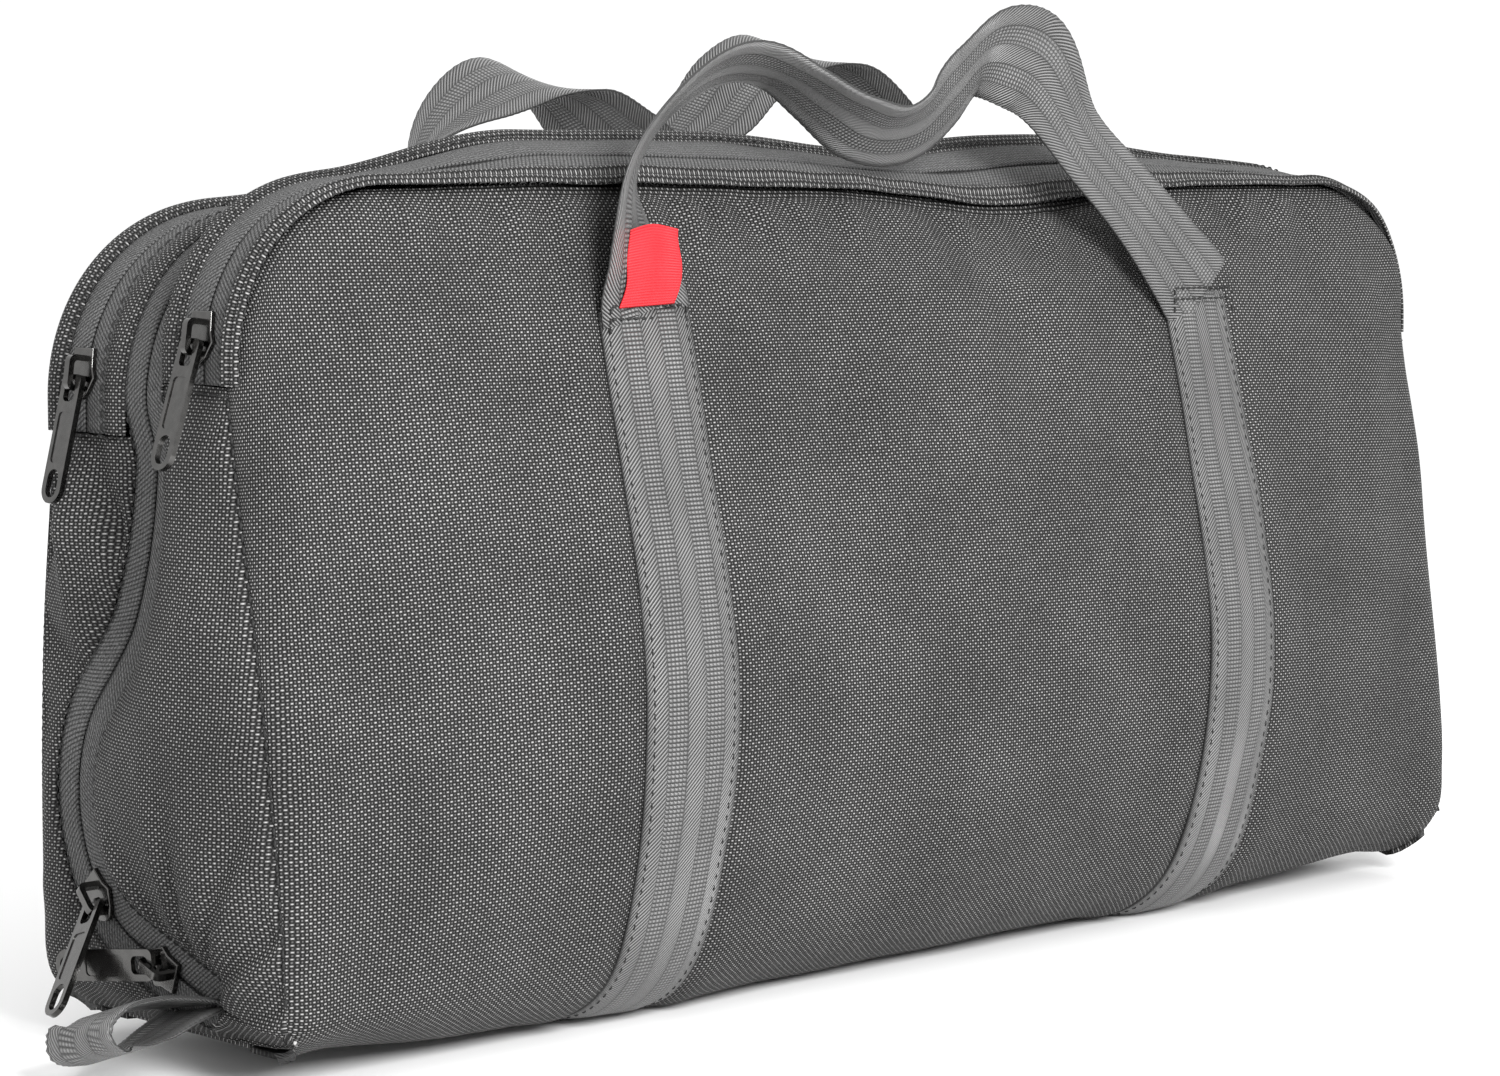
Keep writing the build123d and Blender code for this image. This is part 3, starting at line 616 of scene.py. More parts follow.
# ---- paths of the zips -------------------------------------------------------------------------------
def hoop(top, corner, z0, step=2.0):
    """(x, z, outward x, outward z) along one half's outline over the top, from z0 on the left end, and the
    length to each."""
    centre_x, centre_z = HALF - corner, top - corner
    turn = np.linspace(0, math.pi / 2, 40)
    pts = [(-HALF, z, -1.0, 0.0) for z in np.arange(z0, centre_z, step)]
    pts += [(-centre_x - corner * math.cos(a), centre_z + corner * math.sin(a), -math.cos(a), math.sin(a))
            for a in turn]
    pts += [(x, top, 0.0, 1.0) for x in np.arange(-centre_x + step, centre_x, step)]
    pts += [(centre_x + corner * math.cos(a), centre_z + corner * math.sin(a), math.cos(a), math.sin(a))
            for a in turn[::-1]]
    pts += [(HALF, z, 1.0, 0.0) for z in np.arange(centre_z, z0 - 1e-6, -step)[1:]]
    p = np.array(pts + [(HALF, z0, 1.0, 0.0)])
    return p, np.r_[0, np.cumsum(np.hypot(*np.diff(p[:, :2], axis=0).T))]


def swept(path, y, h):
    """Grid of points along a hoop for one cross profile: y and height h outward of the outline."""
    p = path[0]
    grid = np.zeros((len(p), len(y), 3))
    grid[..., 0] = p[:, 0, None] + p[:, 2, None] * h
    grid[..., 1] = y
    grid[..., 2] = p[:, 1, None] + p[:, 3, None] * h
    return grid


def hoop_noise(path, y, seed, amount, ends=14.0):
    s = path[1]
    f = waves(seed, 8, 26, 120)
    hold = smooth(0, ends, s) * smooth(0, ends, s[-1] - s)
    left = smooth(70, 110, s)  # the left corner stays true, where the sliders run
    return amount * f(s[:, None], y[None, :] * 2) * (hold * (0.12 + 0.88 * left))[:, None]


front_hoop = hoop(FRONT_TOP, FRONT_CORNER, 172.0)
rear_hoop = hoop(REAR_TOP, REAR_CORNER, 158.0)


def oriented(path, y, h):
    """Points and outward normals of one line along a hoop, for stitching."""
    p = path[0]
    pts = np.stack([p[:, 0] + p[:, 2] * h, np.full(len(p), y), p[:, 1] + p[:, 3] * h], -1)
    nor = np.stack([p[:, 2], np.zeros(len(p)), p[:, 3]], -1)
    return settle(pts), nor


# ---- the main zip's path: foot, corner, bend and straight on each end, and over the top ---------------
MAIN_Y, BEND_R, BEND_A = 2.0, 112.9, math.radians(38.0)
TURN_Z, TURN_R, TURN_END, FOOT_RUN = 66.0, 38.0, math.radians(-71.6), 36.0
TURN_Y = MAIN_Y + BEND_R - (BEND_R + TURN_R) * math.cos(BEND_A)
STRAIGHT_END = TURN_Z + (BEND_R + TURN_R) * math.sin(BEND_A)


def end_path(offset=0.0, step=2.0):
    """(y, z) points down one end from the straight's top, moved towards the front half by offset, and the
    way across to the front half at each."""
    top = REAR_TOP - REAR_CORNER
    pts = [(MAIN_Y - offset, z, -1.0, 0.0) for z in np.arange(top, STRAIGHT_END, -step)]
    for a in np.linspace(math.pi, math.pi + BEND_A, 44):
        r = BEND_R + offset
        c, d = math.cos(a), math.sin(a)
        pts.append((MAIN_Y + BEND_R + r * c, STRAIGHT_END + r * d, c, d))
    for a in np.linspace(BEND_A, TURN_END, 44)[1:]:
        r = TURN_R - offset
        pts.append((TURN_Y + r * math.cos(a), TURN_Z + r * math.sin(a), -math.cos(a), -math.sin(a)))
    y, z, ny, nz = pts[-1]
    for d in np.linspace(0, FOOT_RUN, 20)[1:]:
        pts.append((y + d * math.sin(TURN_END), z - d * math.cos(TURN_END), ny, nz))
    return np.array(pts)


def valley(z):
    """How far the main zip sinks between the two lobes of an end, above the run of its sliders."""
    return 3.4 * smooth(88, 112, z) * smooth(168, 150, z)


def main_path():
    """Points, ways across to the front half, ways outward and lengths of the whole main zip, left foot first."""
    down = end_path()
    over = hoop(REAR_TOP, REAR_CORNER, REAR_TOP - REAR_CORNER)[0][1:-1]
    rows = [((-HALF, y, z), (0, ny, nz), (-1, 0, 0)) for y, z, ny, nz in down[::-1]]
    rows += [((x, MAIN_Y, z), (0, -1, 0), (ox, 0, oz)) for x, z, ox, oz in over]
    rows += [((HALF, y, z), (0, ny, nz), (1, 0, 0)) for y, z, ny, nz in down]
    p, c, o = np.array(rows, float).transpose(1, 0, 2)
    s = run_length(p)
    at_end = np.abs(p[:, 0]) > HALF - 0.01
    return p - o * (valley(p[:, 2]) * at_end)[:, None], c, o, s


MAIN_P, MAIN_C, MAIN_O, MAIN_S = main_path()


def main_strip(name, o0, o1, crown, base, body, node, material, slot, lanes=7, thickness=0.9):
    """A band along the whole main zip between two offsets from its slit."""
    offs = np.linspace(o0, o1, lanes)
    h = base + crown * (1 - np.linspace(-1, 1, lanes) ** 2)
    grid = (MAIN_P[:, None, :] + MAIN_C[:, None, :] * offs[None, :, None]
            + MAIN_O[:, None, :] * h[None, :, None])
    uv = cloth_uv(offs[None, :], MAIN_S[:, None])
    rides(shell(name, settle(grid), uv, thickness, materials=(material, LINING)), body, node, slot=slot)


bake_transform(cloth_front)
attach(cloth_rear, "rear_half")


# ---- tapes, ridges and gussets over the top ------------------------------------------------------------
FRONT_Z, REAR_Z = -22.5, 28.0  # y of the two short zips' slits
SLIT = 0.55  # from a zip's middle to its tape


def strip(name, path, y0, y1, crown, seed, body, node, material=CANVAS, slot="canvas", base=0.0, lanes=9,
          noise=0.4, thickness=0.9, centre=None, heights=None):
    """A band over the top of one half from y0 to y1, crowned, with the small unevenness of sewn cloth."""
    y = np.linspace(y0, y1, lanes)
    h = base + crown * (1 - np.linspace(-1, 1, lanes) ** 2) if heights is None else heights(y)
    grid = swept(path, y, h[None, :] + hoop_noise(path, y, seed, noise))
    uv = cloth_uv((y - (y0 if centre is None else centre))[None, :], path[1][:, None])
    rides(shell(name, settle(grid), uv, thickness, materials=(material, LINING)), body, node, slot=slot)


def half_round(y0, y1, height):
    middle, reach = (y0 + y1) / 2, (y1 - y0) / 2 * 1.02
    return lambda y: height * np.sqrt(np.clip(1 - ((y - middle) / reach) ** 2, 0, 1)) - 0.8


def two_folds(y0, y1, height):
    """The panel's edge folded over twice beside the zip: a low fold and a higher one."""
    middle = (y0 + y1) / 2
    low, high = half_round(y0, middle, height * 0.75), half_round(middle, y1, height)
    return lambda y: np.maximum(low(y), high(y))


def tape_pair(word, path, y0, y1, slit, seed):
    """The two tapes of a short zip, either side of its slit."""
    for place, a, b, k in (("near", y0, slit - SLIT, seed), ("far", slit + SLIT, y1, seed + 1)):
        strip(f"tape_{word}_{place}", path, a, b, 0.35, k, f"{word}_half", f"{word}_zip_tapes", TAPE, "zip_tape",
              -0.3, centre=slit, noise=0.25)


strip("ridge_front", front_hoop, -36.6, -31.0, 0, 11, "front_half", "front_zip_facing",
      heights=two_folds(-36.6, -31.0, 2.4), noise=0.35, thickness=0.6, lanes=17)
tape_pair("front", front_hoop, -31.6, -13.3, FRONT_Z, 12)
strip("gusset_front", front_hoop, -13.5, -7.0, 0, 14, "front_half", "front_gusset",
      heights=lambda y: 1.6 * np.sin(np.clip((y + 13.5) / 6.5, 0, 1) * math.pi * 0.8) - 0.3, noise=0.3)
strip("gusset_rear", rear_hoop, 10.8, 19.2, 1.1, 15, "rear_half", "rear_gusset", noise=0.35)
tape_pair("rear", rear_hoop, 19.0, 37.2, REAR_Z, 16)
strip("ridge_rear", rear_hoop, 37.0, 43.6, 0, 18, "rear_half", "rear_zip_facing",
      heights=half_round(37.0, 43.6, 2.9), noise=0.35, thickness=0.8, lanes=11)

for word, path, y0, y1, seed in (("front", front_hoop, -35.5, -7.5, 6), ("rear", rear_hoop, 11.0, 43.0, 7)):
    strip(f"lining_top_{word}", path, y0, y1, 0, seed, f"{word}_half", f"{word}_lining", LINING, "lining", -9.0,
          noise=0.3)
for word, path, y in (("front", front_hoop, FRONT_Z), ("rear", rear_hoop, REAR_Z)):
    # the coils under the slit: two low round rows side by side
    strip(f"coils_{word}", path, y - 3.0, y + 3.0, 0, 5, f"{word}_half", f"{word}_zip_coils", COIL, "zip_coil",
          lanes=13, thickness=0.6, noise=0.2, centre=y,
          heights=lambda v, y=y: -1.6 + 0.8 * np.abs(np.sin((v - y) / 3.0 * math.pi)))


def front_return():
    """The short wall that steps down from the front half's gusset to the main zip."""
    high, low = front_hoop[0], hoop(REAR_TOP, REAR_CORNER, 166.0)[0]
    low_at = np.stack([np.interp(np.linspace(0, 1, len(high)), np.linspace(0, 1, len(low)), low[:, k])
                       for k in range(2)], -1)
    t = np.linspace(0, 1, 7)
    grid = np.zeros((len(high), len(t), 3))
    grid[..., 0] = high[:, 0, None] * (1 - t) + low_at[:, 0, None] * t
    grid[..., 2] = high[:, 1, None] * (1 - t) + low_at[:, 1, None] * t
    grid[..., 1] = -7.0 + 0.9 * np.sin(t * math.pi)
    uv = cloth_uv(t[None, :] * 8.0, np.linspace(0, 700, len(high))[:, None])
    rides(shell("gusset_return", settle(grid), uv, 0.8), "front_half", "front_gusset", slot="canvas")


front_return()
for kind, near, far, crown, base, material in (("tape", 0.6, 9.0, 0.3, -0.3, TAPE),
                                               ("coil", 0.3, 3.0, 0.5, -1.5, COIL)):
    for word, o0, o1 in (("front", near, far), ("rear", -far, -near)):
        main_strip(f"main_{kind}_{word}", o0, o1, crown, base, f"{word}_half", f"main_zip_{kind}_{word}",
                   material, f"zip_{kind}")


# ---- ends --------------------------------------------------------------------------------------------
def along(points, share):
    """Points at shares of a polyline's length."""
    s = run_length(points)
    return np.stack([np.interp(share * s[-1], s, points[:, k]) for k in range(points.shape[1])], -1)


def panel_edge(grid, column, z_top):
    """The sewn side edge of a big panel below a height, as (x, y, z) from the top down."""
    line = grid[column]
    return line[line[:, 2] <= z_top]


def end_cloth(name, side, inner, outer, bulge, seed, body, node, count, pucker, centred, lanes=34):
    """Cloth between two (x, y, z) lines on one end of the bag; it swells outward between its seams."""
    t, w = np.linspace(0, 1, count), np.linspace(0, 1, lanes)
    a, b = along(inner, t), along(outer, t)
    between = a[:, None] * (1 - w)[None, :, None] + b[:, None] * w[None, :, None]
    base_x, y, z = np.moveaxis(between, -1, 0)
    wide = np.linalg.norm(b[:, 1:] - a[:, 1:], axis=1)
    closing = smooth(0.0, 0.10, t) * smooth(1.0, 0.86, t)
    room = (np.sin(w * math.pi).clip(0) ** 0.6)[None, :] * closing[:, None]
    lift = bulge * room * np.clip(wide / 45.0, 0.15, 1.15)[:, None]
    large, small = waves(seed, 7, 34, 90), waves(seed + 1, 9, 13, 30)
    inside = smooth(0, 0.12, w)[None, :] * smooth(1, 0.88, w)[None, :]
    lift += (0.9 * large(y * 1.4, z) + 0.22 * small(y, z)) * inside
    if pucker is not None:
        lift += pucker(y, z) * inside
    lift -= valley(z) * np.clip(1 - w / 0.3, 0, 1)[None, :] ** 1.5
    x = side * (np.abs(base_x) + lift)
    uv = np.stack([y - y.mean() if centred else y, z], -1)
    rides(shell(name, settle(np.stack([x, y, z], -1)), uv, 1.2, out=(side, 0, 0)), body, node, slot="canvas")


def end_line(offset, z_top, side, extra=()):
    """The main zip's edge on one end as (x, y, z) from z_top down, with further (y, z) points after the foot."""
    pts = end_path(offset)[:, :2]
    if z_top > pts[0, 1]:
        pts = np.concatenate([[[pts[0, 0], z_top]], pts])
    pts = pts[pts[:, 1] <= z_top + 1e-6]
    if len(extra):
        pts = np.concatenate([pts, np.asarray(extra, float)])
    return np.concatenate([np.full((len(pts), 1), side * (HALF + 0.1)), pts], 1)


def fold_lines(y, z):
    """Creases that fan out from the tab's root over the lower part of the front end."""
    root = (-20.0, 14.0)
    r = np.hypot(y - root[0], z - root[1])
    a = np.arctan2(z - root[1], y - root[0])
    fan = np.sin(a * 15 + 0.6) + 0.5 * np.sin(a * 27 + 2)
    return 0.9 * fan * smooth(10, 26, r) * (1 - smooth(38, 78, r))


def rear_fold_lines(y, z):
    """Triangular folds below the end of the rear zip."""
    return (-6.0 * bell(y - 40 + 0.35 * (z - 150), 4.5) * bell(z - 130, 22)
            - 5.0 * bell(y - 22 - 0.3 * (z - 150), 4.0) * bell(z - 134, 18)
            - 2.6 * bell(z - 96 - 0.7 * (y - 30), 7) * bell(y - 38, 12)
            + 4.5 * bell(y - 32, 5) * bell(z - 132, 18))


for side, column, word, seeds, fan in ((-1, 0, "left", (61, 71), fold_lines),
                                       (1, -1, "right", (67, 77), None)):
    seam = panel_edge(front_p, column, 171.5)
    corner = seam[seam[:, 2] > 15.5]
    outer = np.concatenate([[[side * HALF, seam[0, 1], 171.5]], corner])
    inner = end_line(8.8, 172.0, side, [(-27.6, 19.6), (-40.0, 17.0), (-53.5, 14.8)])
    end_cloth(f"end_front_{word}", side, inner, outer, 8.0, seeds[0], "front_half", f"front_end_{word}", 90,
              fan, centred=False)
    seam = panel_edge(rear_p, column, 157.5)
    seam = seam[seam[:, 2] > 1.0]
    under = [(36, 2.4), (20, 2.2), (0, 2.2), (-20, 2.4), (-38, 3.8), (-47, 7.2), (-52.5, 12.5)]
    outer = np.concatenate([[[side * HALF, seam[0, 1], 158.0]], seam,
                            [[side * HALF, y, z] for y, z in under]])
    outer[:, 0] = side * (HALF - 9.0 * (1 - smooth(0, 26, outer[:, 2])) ** 2)
    inner = end_line(-8.8, 158.0, side, [(-27.4, 19.2), (-40.0, 17.4), (-53.0, 15.2)])
    end_cloth(f"end_rear_{word}", side, inner, outer, 4.0, seeds[1], "rear_half", f"rear_end_{word}", 110,
              rear_fold_lines, centred=True)


# ---- underside ----------------------------------------------------------------------------------------
def base_cloth():
    x = np.linspace(-219, 219, 150)
    y = np.linspace(-26, 26, 24)
    gx, gy = np.meshgrid(x, y, indexing="ij")
    f = waves(88, 8, 40, 150)
    z = 1.2 + 0.9 * smooth(0.2, 1.2, f(gx, gy)) * smooth(219, 200, np.abs(gx))
    cloth = shell("base_cloth", settle(np.stack([gx, gy, z], -1)), np.stack([gx, gy], -1), 1.2, out=(0, 0, -1))
    rides(cloth, "rear_half", "base_panel", slot="canvas")


base_cloth()


# ---- straps sewn to the panels --------------------------------------------------------------------------
def at_column(grid, x):
    """The panel's line of points at one x, by interpolation between its columns."""
    first = grid[:, 0, 0]
    k = np.interp(x, first, np.arange(len(first)))
    i = int(min(math.floor(k), len(first) - 2))
    return grid[i] * (1 - (k - i)) + grid[i + 1] * (k - i)


def smoothed(grid, passes):
    g = grid.copy()
    for _ in range(passes):
        g[:, 1:-1] = 0.25 * g[:, :-2] + 0.5 * g[:, 1:-1] + 0.25 * g[:, 2:]
    return g


def strap(name, panel, x, top, seed, node):
    """Webbing on a panel from a height down to the underside, with its two rows of stitches."""
    lanes = np.linspace(-WEB / 2, WEB / 2, 15)
    base = smoothed(np.stack([at_column(panel, x + t) for t in lanes]), 6)
    base = base[:, base[:, :, 2].mean(0) <= top]
    normal = grid_normals(base)
    side = -1 if panel is front_p else 1
    if (normal[..., 1] * side).mean() < 0:
        normal = -normal
    normal = unit(normal.mean(0, keepdims=True) * 0.6 + normal * 0.4)
    lip = 1.45 - 0.5 * np.abs(lanes / 15) ** 8
    steps = 3.0 * np.arange(1, base.shape[1] + 1)
    ripple = 0.22 * waves(seed, 6, 30, 90)(lanes[:, None] * 0.6, steps[None, :])
    surface = base + normal * (lip[:, None] + ripple)[..., None]
    v = run_length(base[7])
    uv = cloth_uv((lanes + WEB / 2)[:, None], v[None, :])
    surface[..., 2] = np.maximum(surface[..., 2], 0.02)
    surface = settle(surface)
    band = shell(name, surface, uv, 1.2, out=(0, side, 0), materials=(WEBBING, WEBBING))
    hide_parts(node)
    sewn = stitch_rows(name.replace("strap_", "strap_stitch_"), [(surface[k], normal[k]) for k in (1, -2)],
                       radius=0.17, lift=0.02)
    return band, sewn, float(surface[:, 0, 1].mean())


STRAP_TOP = 190.0
roots = {"front": [], "rear": []}
for x, word in ((-STRAP_X, "left"), (STRAP_X, "right")):
    for half, panel, seed in (("front", front_p, 31), ("rear", rear_p, 33)):
        band, sewn, root = strap(f"strap_{half}_{word}", panel, x, STRAP_TOP, seed, f"{half}_straps")
        roots[half].append(root)
        for piece in (band, sewn):
            if half == "front":
                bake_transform(piece)
            else:
                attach(piece, "rear_half")
    # the run under the base
    lanes = np.linspace(-WEB / 2, WEB / 2, 15)
    gx, gy = np.meshgrid(x + lanes, np.linspace(-27, 27, 30), indexing="ij")
    gz = 0.05 + 0.25 * (np.abs(lanes / 15) ** 8)[:, None] * np.ones_like(gy)
    run = shell(f"strap_under_{word}", settle(np.stack([gx, gy, gz], -1)), np.stack([gx - x + 15, gy], -1), 1.1,
                out=(0, 0, -1), materials=(WEBBING, WEBBING))
    rides(run, "rear_half", "rear_straps", slot="webbing")


# ---- handles --------------------------------------------------------------------------------------------
FRONT_PATH = [(-110, 186), (-113, 204), (-112, 222), (-98, 240), (-78, 250), (-56, 248), (-38, 240), (-22, 234),
              (-6, 236), (8, 246), (22, 256), (38, 254), (62, 230), (84, 211), (110, 186)]
FRONT_TURNS = [0, -25, -45, -56, -60, -88, -80, -62, -40, -30, -40, -15, 20, 15, 0]
REAR_PATH = [(-110, 186), (-109, 206), (-100, 226), (-84, 241), (-64, 249), (-45, 243), (-29, 233), (-11, 228),
             (8, 238), (22, 251), (40, 258), (58, 252), (78, 236), (95, 216), (105, 202), (110, 186)]
REAR_TURNS = [0, 20, 60, 105, 118, 75, 55, 80, 110, 118, 115, 75, 55, 35, 12, 0]


def handle(name, root_y, top_y, path, turns, sign, body, stations=230, ease=17):
    """A band through a path of (x, z) points, turned about its own run by an angle at each."""
    keys = np.array([(x, root_y + (top_y - root_y) * smooth(190, 235, z), z, a)
                     for (x, z), a in zip(path, turns)], float)
    line = spline(keys, stations)
    middle, turn = line[:, :3], np.radians(line[:, 3])
    turn = np.convolve(np.pad(turn, ease // 2, mode="edge"), np.ones(ease) / ease, "valid")
    at = np.arange(stations)
    turn = turn * smooth(0, 12, at) * smooth(stations - 1, stations - 13, at)  # flat where it is sewn
    tangent = unit(np.gradient(middle, axis=0))
    flat = unit(np.stack([tangent[:, 2], np.zeros(stations), -tangent[:, 0]], -1))
    across = unit(sign * np.cos(turn)[:, None] * flat - np.sin(turn)[:, None] * np.array([0.0, 1.0, 0.0]))
    across = unit(across - tangent * (across * tangent).sum(-1, keepdims=True))
    band = ribbon(name, middle, across, unit(np.cross(tangent, across)), WEB)
    rides(band, body, body, slot="webbing")


front_root, rear_root = float(np.mean(roots["front"])), float(np.mean(roots["rear"]))
handle("handle_front", front_root - 1.0, -48.5, FRONT_PATH, FRONT_TURNS, 1, "front_handle")
handle("handle_rear", rear_root + 1.0, 52.5, REAR_PATH, REAR_TURNS, -1, "rear_handle")


def tack_rows(x, y, z, side):
    """The box of stitches that holds a handle's root on its strap."""
    n, reach = [(0, side, 0.0)] * 2, 13
    level = [([(x - reach, y, z + dz), (x + reach, y, z + dz)], n) for dz in (0.0, -3.2)]
    return level + [([(x + dx, y, z), (x + dx, y, z - 8)], n) for dx in (-reach, reach)]


for word, x in (("left", -STRAP_X), ("right", STRAP_X)):
    for half, y, side in (("front", front_root - 1.9, -1), ("rear", rear_root + 1.9, 1)):
        sewn = stitch_rows(f"tack_{half}_{word}", tack_rows(x, y, STRAP_TOP - 1, side), length=1.8, gap=0.7,
                           radius=0.3)
        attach(sewn, f"{half}_half")


# ---- red flag on the front handle's left root -------------------------------------------------------------
def flag():
    w, h = 19.5, 20.0
    a, b = np.linspace(0, 1, 26), np.linspace(0, 1, 26)
    u, v = np.meshgrid(a, b, indexing="ij")
    x = -120.5 + u * w * (0.96 - 0.10 * v) + 3.6 * v * (1 - 0.3 * u) + 0.7 * np.sin(v * 6.0)
    z = 188.5 + v * h + 1.4 * np.sin(u * math.pi) * v + 0.8 * (1 - v) * u
    y = front_root - 2.6 - 2.2 * np.sin(v * math.pi * 0.9) * (0.4 + 0.6 * np.sin(u * math.pi * 1.3 + 0.4) ** 2)
    y -= 1.1 * np.sin(v * 9 + u * 3) * 0.35 * v + 0.8 * smooth(0.75, 1.0, u) * v
    grid = np.stack([x, y, z], -1)
    uv = np.stack([u * w, v * h], -1)
    obj = shell("flag_red", grid, uv, 0.5, out=(0, -1, 0), materials=(FLAG, FLAG))
    rides(obj, "front_handle", "side_flag", slot="flag")


flag()


# ---- the tab at the foot of the left end -----------------------------------------------------------------
def tab():
    path = [(-227.0, -14, 18.4), (-236, -14, 19.8), (-246, -13.6, 20.4), (-254, -13, 19.0), (-258.5, -13, 15.6),
            (-257.5, -13, 11.4), (-251, -13, 9.2), (-243, -13.4, 10.6), (-235, -14, 14.0), (-227.0, -14, 16.9)]
    middle = spline(path, 120)
    tangent = unit(np.gradient(middle, axis=0))
    s = np.linspace(0, 1, 120)
    lean = -0.20 - 0.16 * np.sin(s * math.pi)
    across = unit(np.stack([np.zeros(120), np.ones(120), lean], -1))
    across = unit(across - tangent * (across * tangent).sum(-1, keepdims=True))
    loop = ribbon("tab_loop", middle, across, unit(np.cross(tangent, across)), WEB - 1, notch=0.35)
    rides(loop, "end_tab", "end_tab", slot="webbing")


tab()


# ---- seams -----------------------------------------------------------------------------------------------
def main_line(offset, height, s0, s1):
    pick = (MAIN_S >= s0) & (MAIN_S <= s1)
    pts = MAIN_P[pick] + MAIN_C[pick] * offset + MAIN_O[pick] * height
    return settle(pts), MAIN_O[pick]


def trimmed(line, normals, x_end=196.0):
    """A sewn line without its last stretch, which lies hidden round the far corner."""
    keep = line[:, 0] < x_end
    return line[keep], normals[keep]


rows = [trimmed(*oriented(front_hoop, y, h)) for y, h in ((-37.0, -0.5), (-30.4, 0.1), (-12.6, 0.7))]
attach(stitch_rows("stitch_front_zip", rows), "front_half")
rows = [trimmed(*oriented(rear_hoop, y, h)) for y, h in ((36.2, 0.2), (19.8, 0.5))]
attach(stitch_rows("stitch_rear_zip", rows), "rear_half")
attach(stitch_rows("stitch_main_front", [main_line(8.0, 0.2, 0, MAIN_S[-1])]), "front_half")
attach(stitch_rows("stitch_main_rear", [main_line(-8.0, 0.2, 0, MAIN_S[-1])]), "rear_half")


def seam_line(grid, lane, z_low, z_high, way):
    """Close dark stitches in the groove where an end piece meets a big panel; they are partly real stitching and,
    set almost end to end, partly a painted shadow line along the groove.
    """
    line = settle(grid[lane])
    line = line[(line[:, 2] > z_low) & (line[:, 2] < z_high)]
    return line, np.broadcast_to(unit(np.asarray(way, float)), line.shape)


FRONT_ZIP_END, REAR_ZIP_END = 171.0, 157.2
for side, lane, word in ((-1, 0, "left"), (1, -1, "right")):
    for half, panel, low, high, way, radius, lift in (("front", front_p, 20, 171, -1, 0.34, 0.25),
                                                      ("rear", rear_p, 14, 157, 1, 0.15, -0.15)):
        # painted shadow: these nearly unbroken dark stitches stand in for the shadow in the seam's groove as well
        # as for its real stitching
        sewn = stitch_rows(f"stitch_side_{half}_{word}", [seam_line(panel, lane, low, high, (side, way, 0))],
                           length=2.6, gap=0.35, radius=radius, lift=lift)
        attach(sewn, f"{half}_half")
    x, out = side * (HALF + 0.4), [(side, 0, 0.3)] * 20
    for half, line in (("front", [(x, y, FRONT_ZIP_END + 0.05 * y) for y in np.linspace(-36.5, -8, 20)]),
                       ("rear", [(x, y, REAR_ZIP_END + 0.5 * math.sin(y)) for y in np.linspace(11.5, 38.5, 20)])):
        sewn = stitch_rows(f"stitch_zip_end_{half}_{word}", [(line, out)], length=2.0, gap=0.8)
        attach(sewn, f"{half}_half")


# ---- what is inside: the folded changing sack, its sleeves and cuffs --------------------------------------
def folded(name, node, layers, seed):
    """A stack of folded cloth in the room of one CAD block: a serpentine of layers, swept and crumpled."""
    low, high = (np.array(v, float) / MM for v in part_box(node))
    size = high - low
    pitch = size[1] / layers
    section = []
    for k in range(layers):
        y = low[1] + pitch * (k + 0.5)
        a, b = low[2] + pitch * 0.6, high[2] - pitch * 0.6
        ends = (a, b) if k % 2 == 0 else (b, a)
        section += [(y, ends[0] + (ends[1] - ends[0]) * t) for t in (0, 0.25, 0.5, 0.75, 1.0)]
        if k < layers - 1:
            turn = 1 if k % 2 == 0 else -1
            section.append((y + pitch / 2, ends[1] + turn * pitch * 0.35))
    section = spline([(0, y, z) for y, z in section], 60 * layers)[:, 1:]
    x = np.linspace(low[0] + 2, high[0] - 2, 90)
    gx = np.broadcast_to(x[:, None], (90, len(section))).copy()
    round_off = np.sqrt(np.clip(1 - np.abs((x - x.mean()) / (size[0] / 2)) ** 6, 0.02, 1))
    mid = (low + high) / 2
    y = mid[1] + (section[None, :, 0] - mid[1]) * (0.9 + 0.1 * round_off[:, None])
    z = low[2] + 1 + (section[None, :, 1] - low[2] - 1) * (0.86 + 0.14 * round_off[:, None])
    f, g = waves(seed, 8, 30, 110), waves(seed + 3, 8, 30, 110)
    y = y + pitch * 0.16 * f(gx, z)
    z = z + pitch * 0.12 * g(gx, section[None, :, 0] * 3) * smooth(low[2], low[2] + 12, z)
    grid = np.stack([gx, y, z], -1)
    uv = cloth_uv(x[:, None], np.linspace(0, 100, len(section))[None, :])
    obj = shell(name, grid, uv, pitch * 0.55, materials=(SACK, SACK))
    rides(obj, "rear_half", node, slot="sack")


folded("sack_folded", "changing_sack", 5, 91)
for word in ("left", "right"):
    folded(f"sleeve_folded_{word}", f"sleeve_{word}", 3, 95)


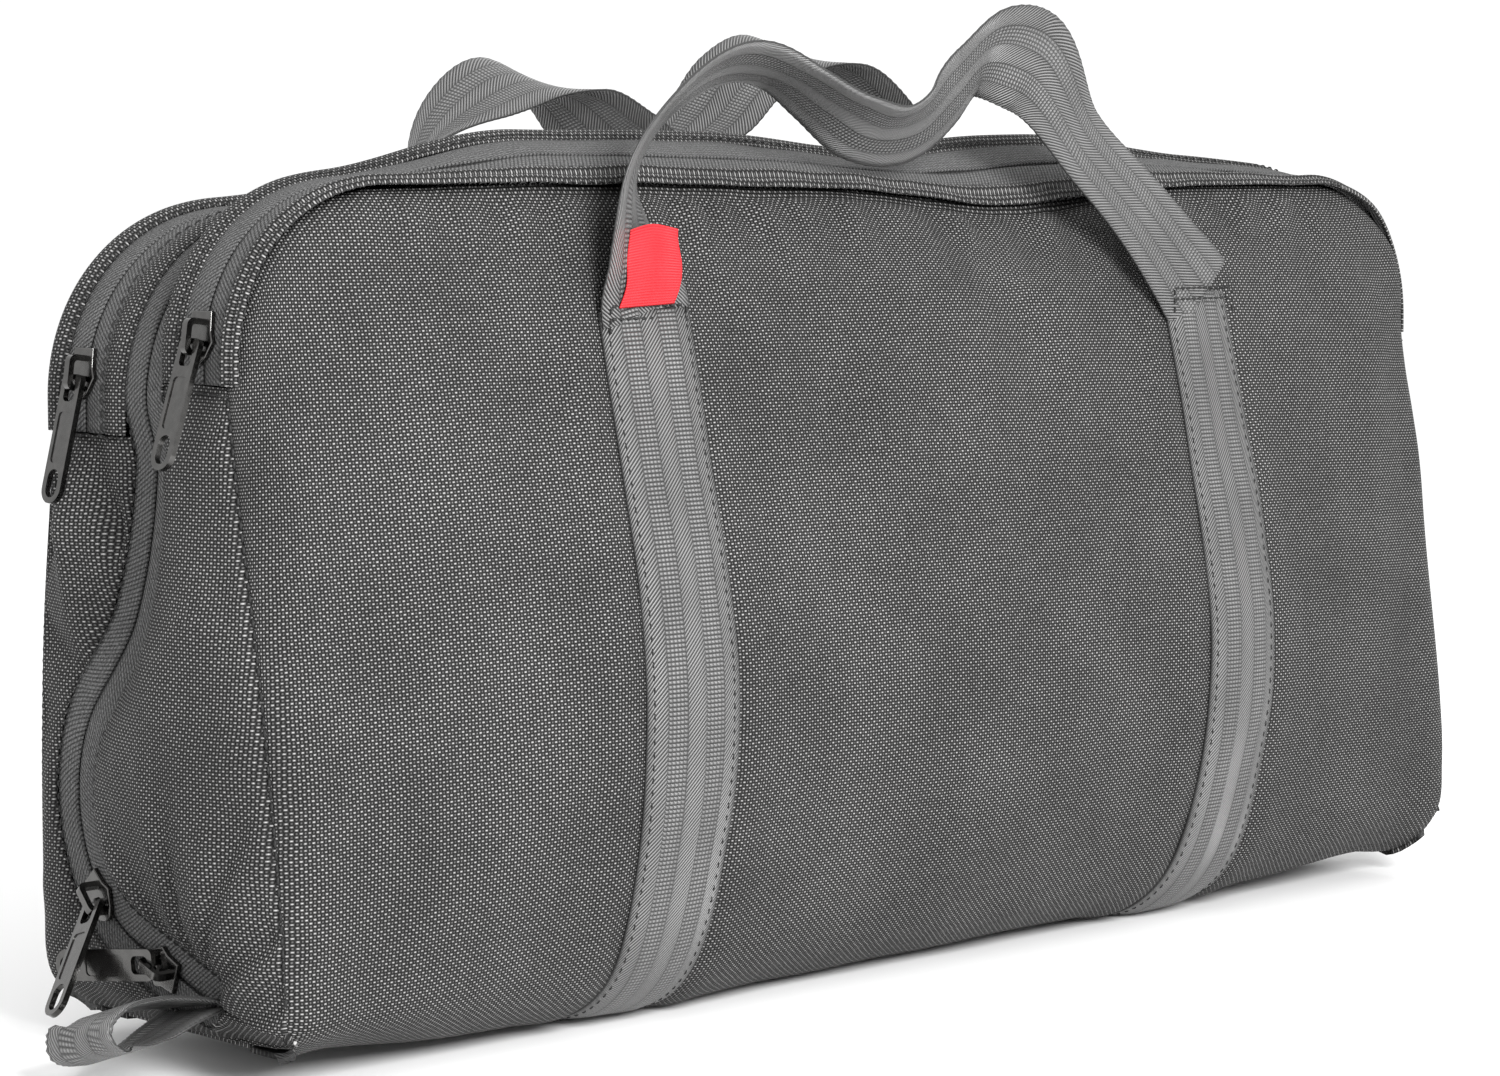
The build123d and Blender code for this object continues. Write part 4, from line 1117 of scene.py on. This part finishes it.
def cuff(word):
    """A gathered elastic cuff: a ring of puckers round its sleeve."""
    low, high = (np.array(v, float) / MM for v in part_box(f"cuff_{word}"))
    mid, size = (low + high) / 2, high - low
    axis = int(np.argmin(size))
    others = [k for k in range(3) if k != axis]
    a = np.linspace(0, 2 * math.pi, 160)
    b = np.linspace(-math.pi, math.pi, 22)
    ga, gb = np.meshgrid(a, b, indexing="ij")
    grid = np.zeros((160, 22, 3))
    tube = size[axis] * 0.46 * (1 + 0.12 * np.sin(ga * 26))
    r0 = size[others[0]] / 2 - tube.max(), size[others[1]] / 2 - tube.max()
    grid[..., others[0]] = mid[others[0]] + (r0[0] + tube * np.cos(gb)) * np.cos(ga)
    grid[..., others[1]] = mid[others[1]] + (r0[1] + tube * np.cos(gb)) * np.sin(ga)
    grid[..., axis] = mid[axis] + tube * np.sin(gb)
    obj = new_object(f"cuff_gathered_{word}", grid.reshape(-1, 3), grid_faces(160, 22), None, (SACK,))
    rides(obj, "rear_half", f"cuff_{word}", slot="elastic")


cuff("left")
cuff("right")


# ---- CAD pieces that are seen as they are ------------------------------------------------------------------
def paint(node, material):
    for obj in bpy.data.objects:
        if obj.get("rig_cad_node") == node:
            obj.data.materials.clear()
            obj.data.materials.append(material)


for zip_name in ("front_zip", "rear_zip", "main_zip_upper", "main_zip_lower"):
    for part in ("slider", "pull"):
        paint(f"{zip_name}_{part}", METAL)

# ---- floor and light ---------------------------------------------------------------------------------------
bpy.context.scene.view_settings.view_transform = "Standard"
floor_mesh = bpy.data.meshes.new("floor")
FLOOR_REACH, FLOOR_Z = 60, -0.0006
corners = [(a * FLOOR_REACH, b * FLOOR_REACH, FLOOR_Z) for a, b in ((-1, -1), (1, -1), (1, 1), (-1, 1))]
floor_mesh.from_pydata(corners, [], [(0, 1, 2, 3)])
floor = bpy.data.objects.new("floor", floor_mesh)
bpy.context.scene.collection.objects.link(floor)
paper = Nodes("floor_paper")
floor_mesh.materials.append(paper.set(color=(0.93, 0.93, 0.93, 1), rough=0.8, spec=0.0))

world = bpy.data.worlds.new("studio")
bpy.context.scene.world = world
world.use_nodes = True
world.node_tree.nodes["Background"].inputs[0].default_value = (1, 1, 1, 1)
world.node_tree.nodes["Background"].inputs[1].default_value = 1.09


def softbox(name, at, look, size, watts):
    data = bpy.data.lights.new(name, "AREA")
    data.shape = "RECTANGLE"
    data.size, data.size_y = size
    data.energy = watts
    lamp = bpy.data.objects.new(name, data)
    bpy.context.scene.collection.objects.link(lamp)
    lamp.location = at
    lamp.rotation_euler = (Vector(look) - Vector(at)).to_track_quat("-Z", "Y").to_euler()


softbox("key", (-0.40, -1.10, 0.60), (-0.14, 0, 0.10), (0.4, 0.4), 24)
softbox("top", (0.2, 0.4, 1.9), (0, 0, 0.15), (1.4, 0.8), 5)
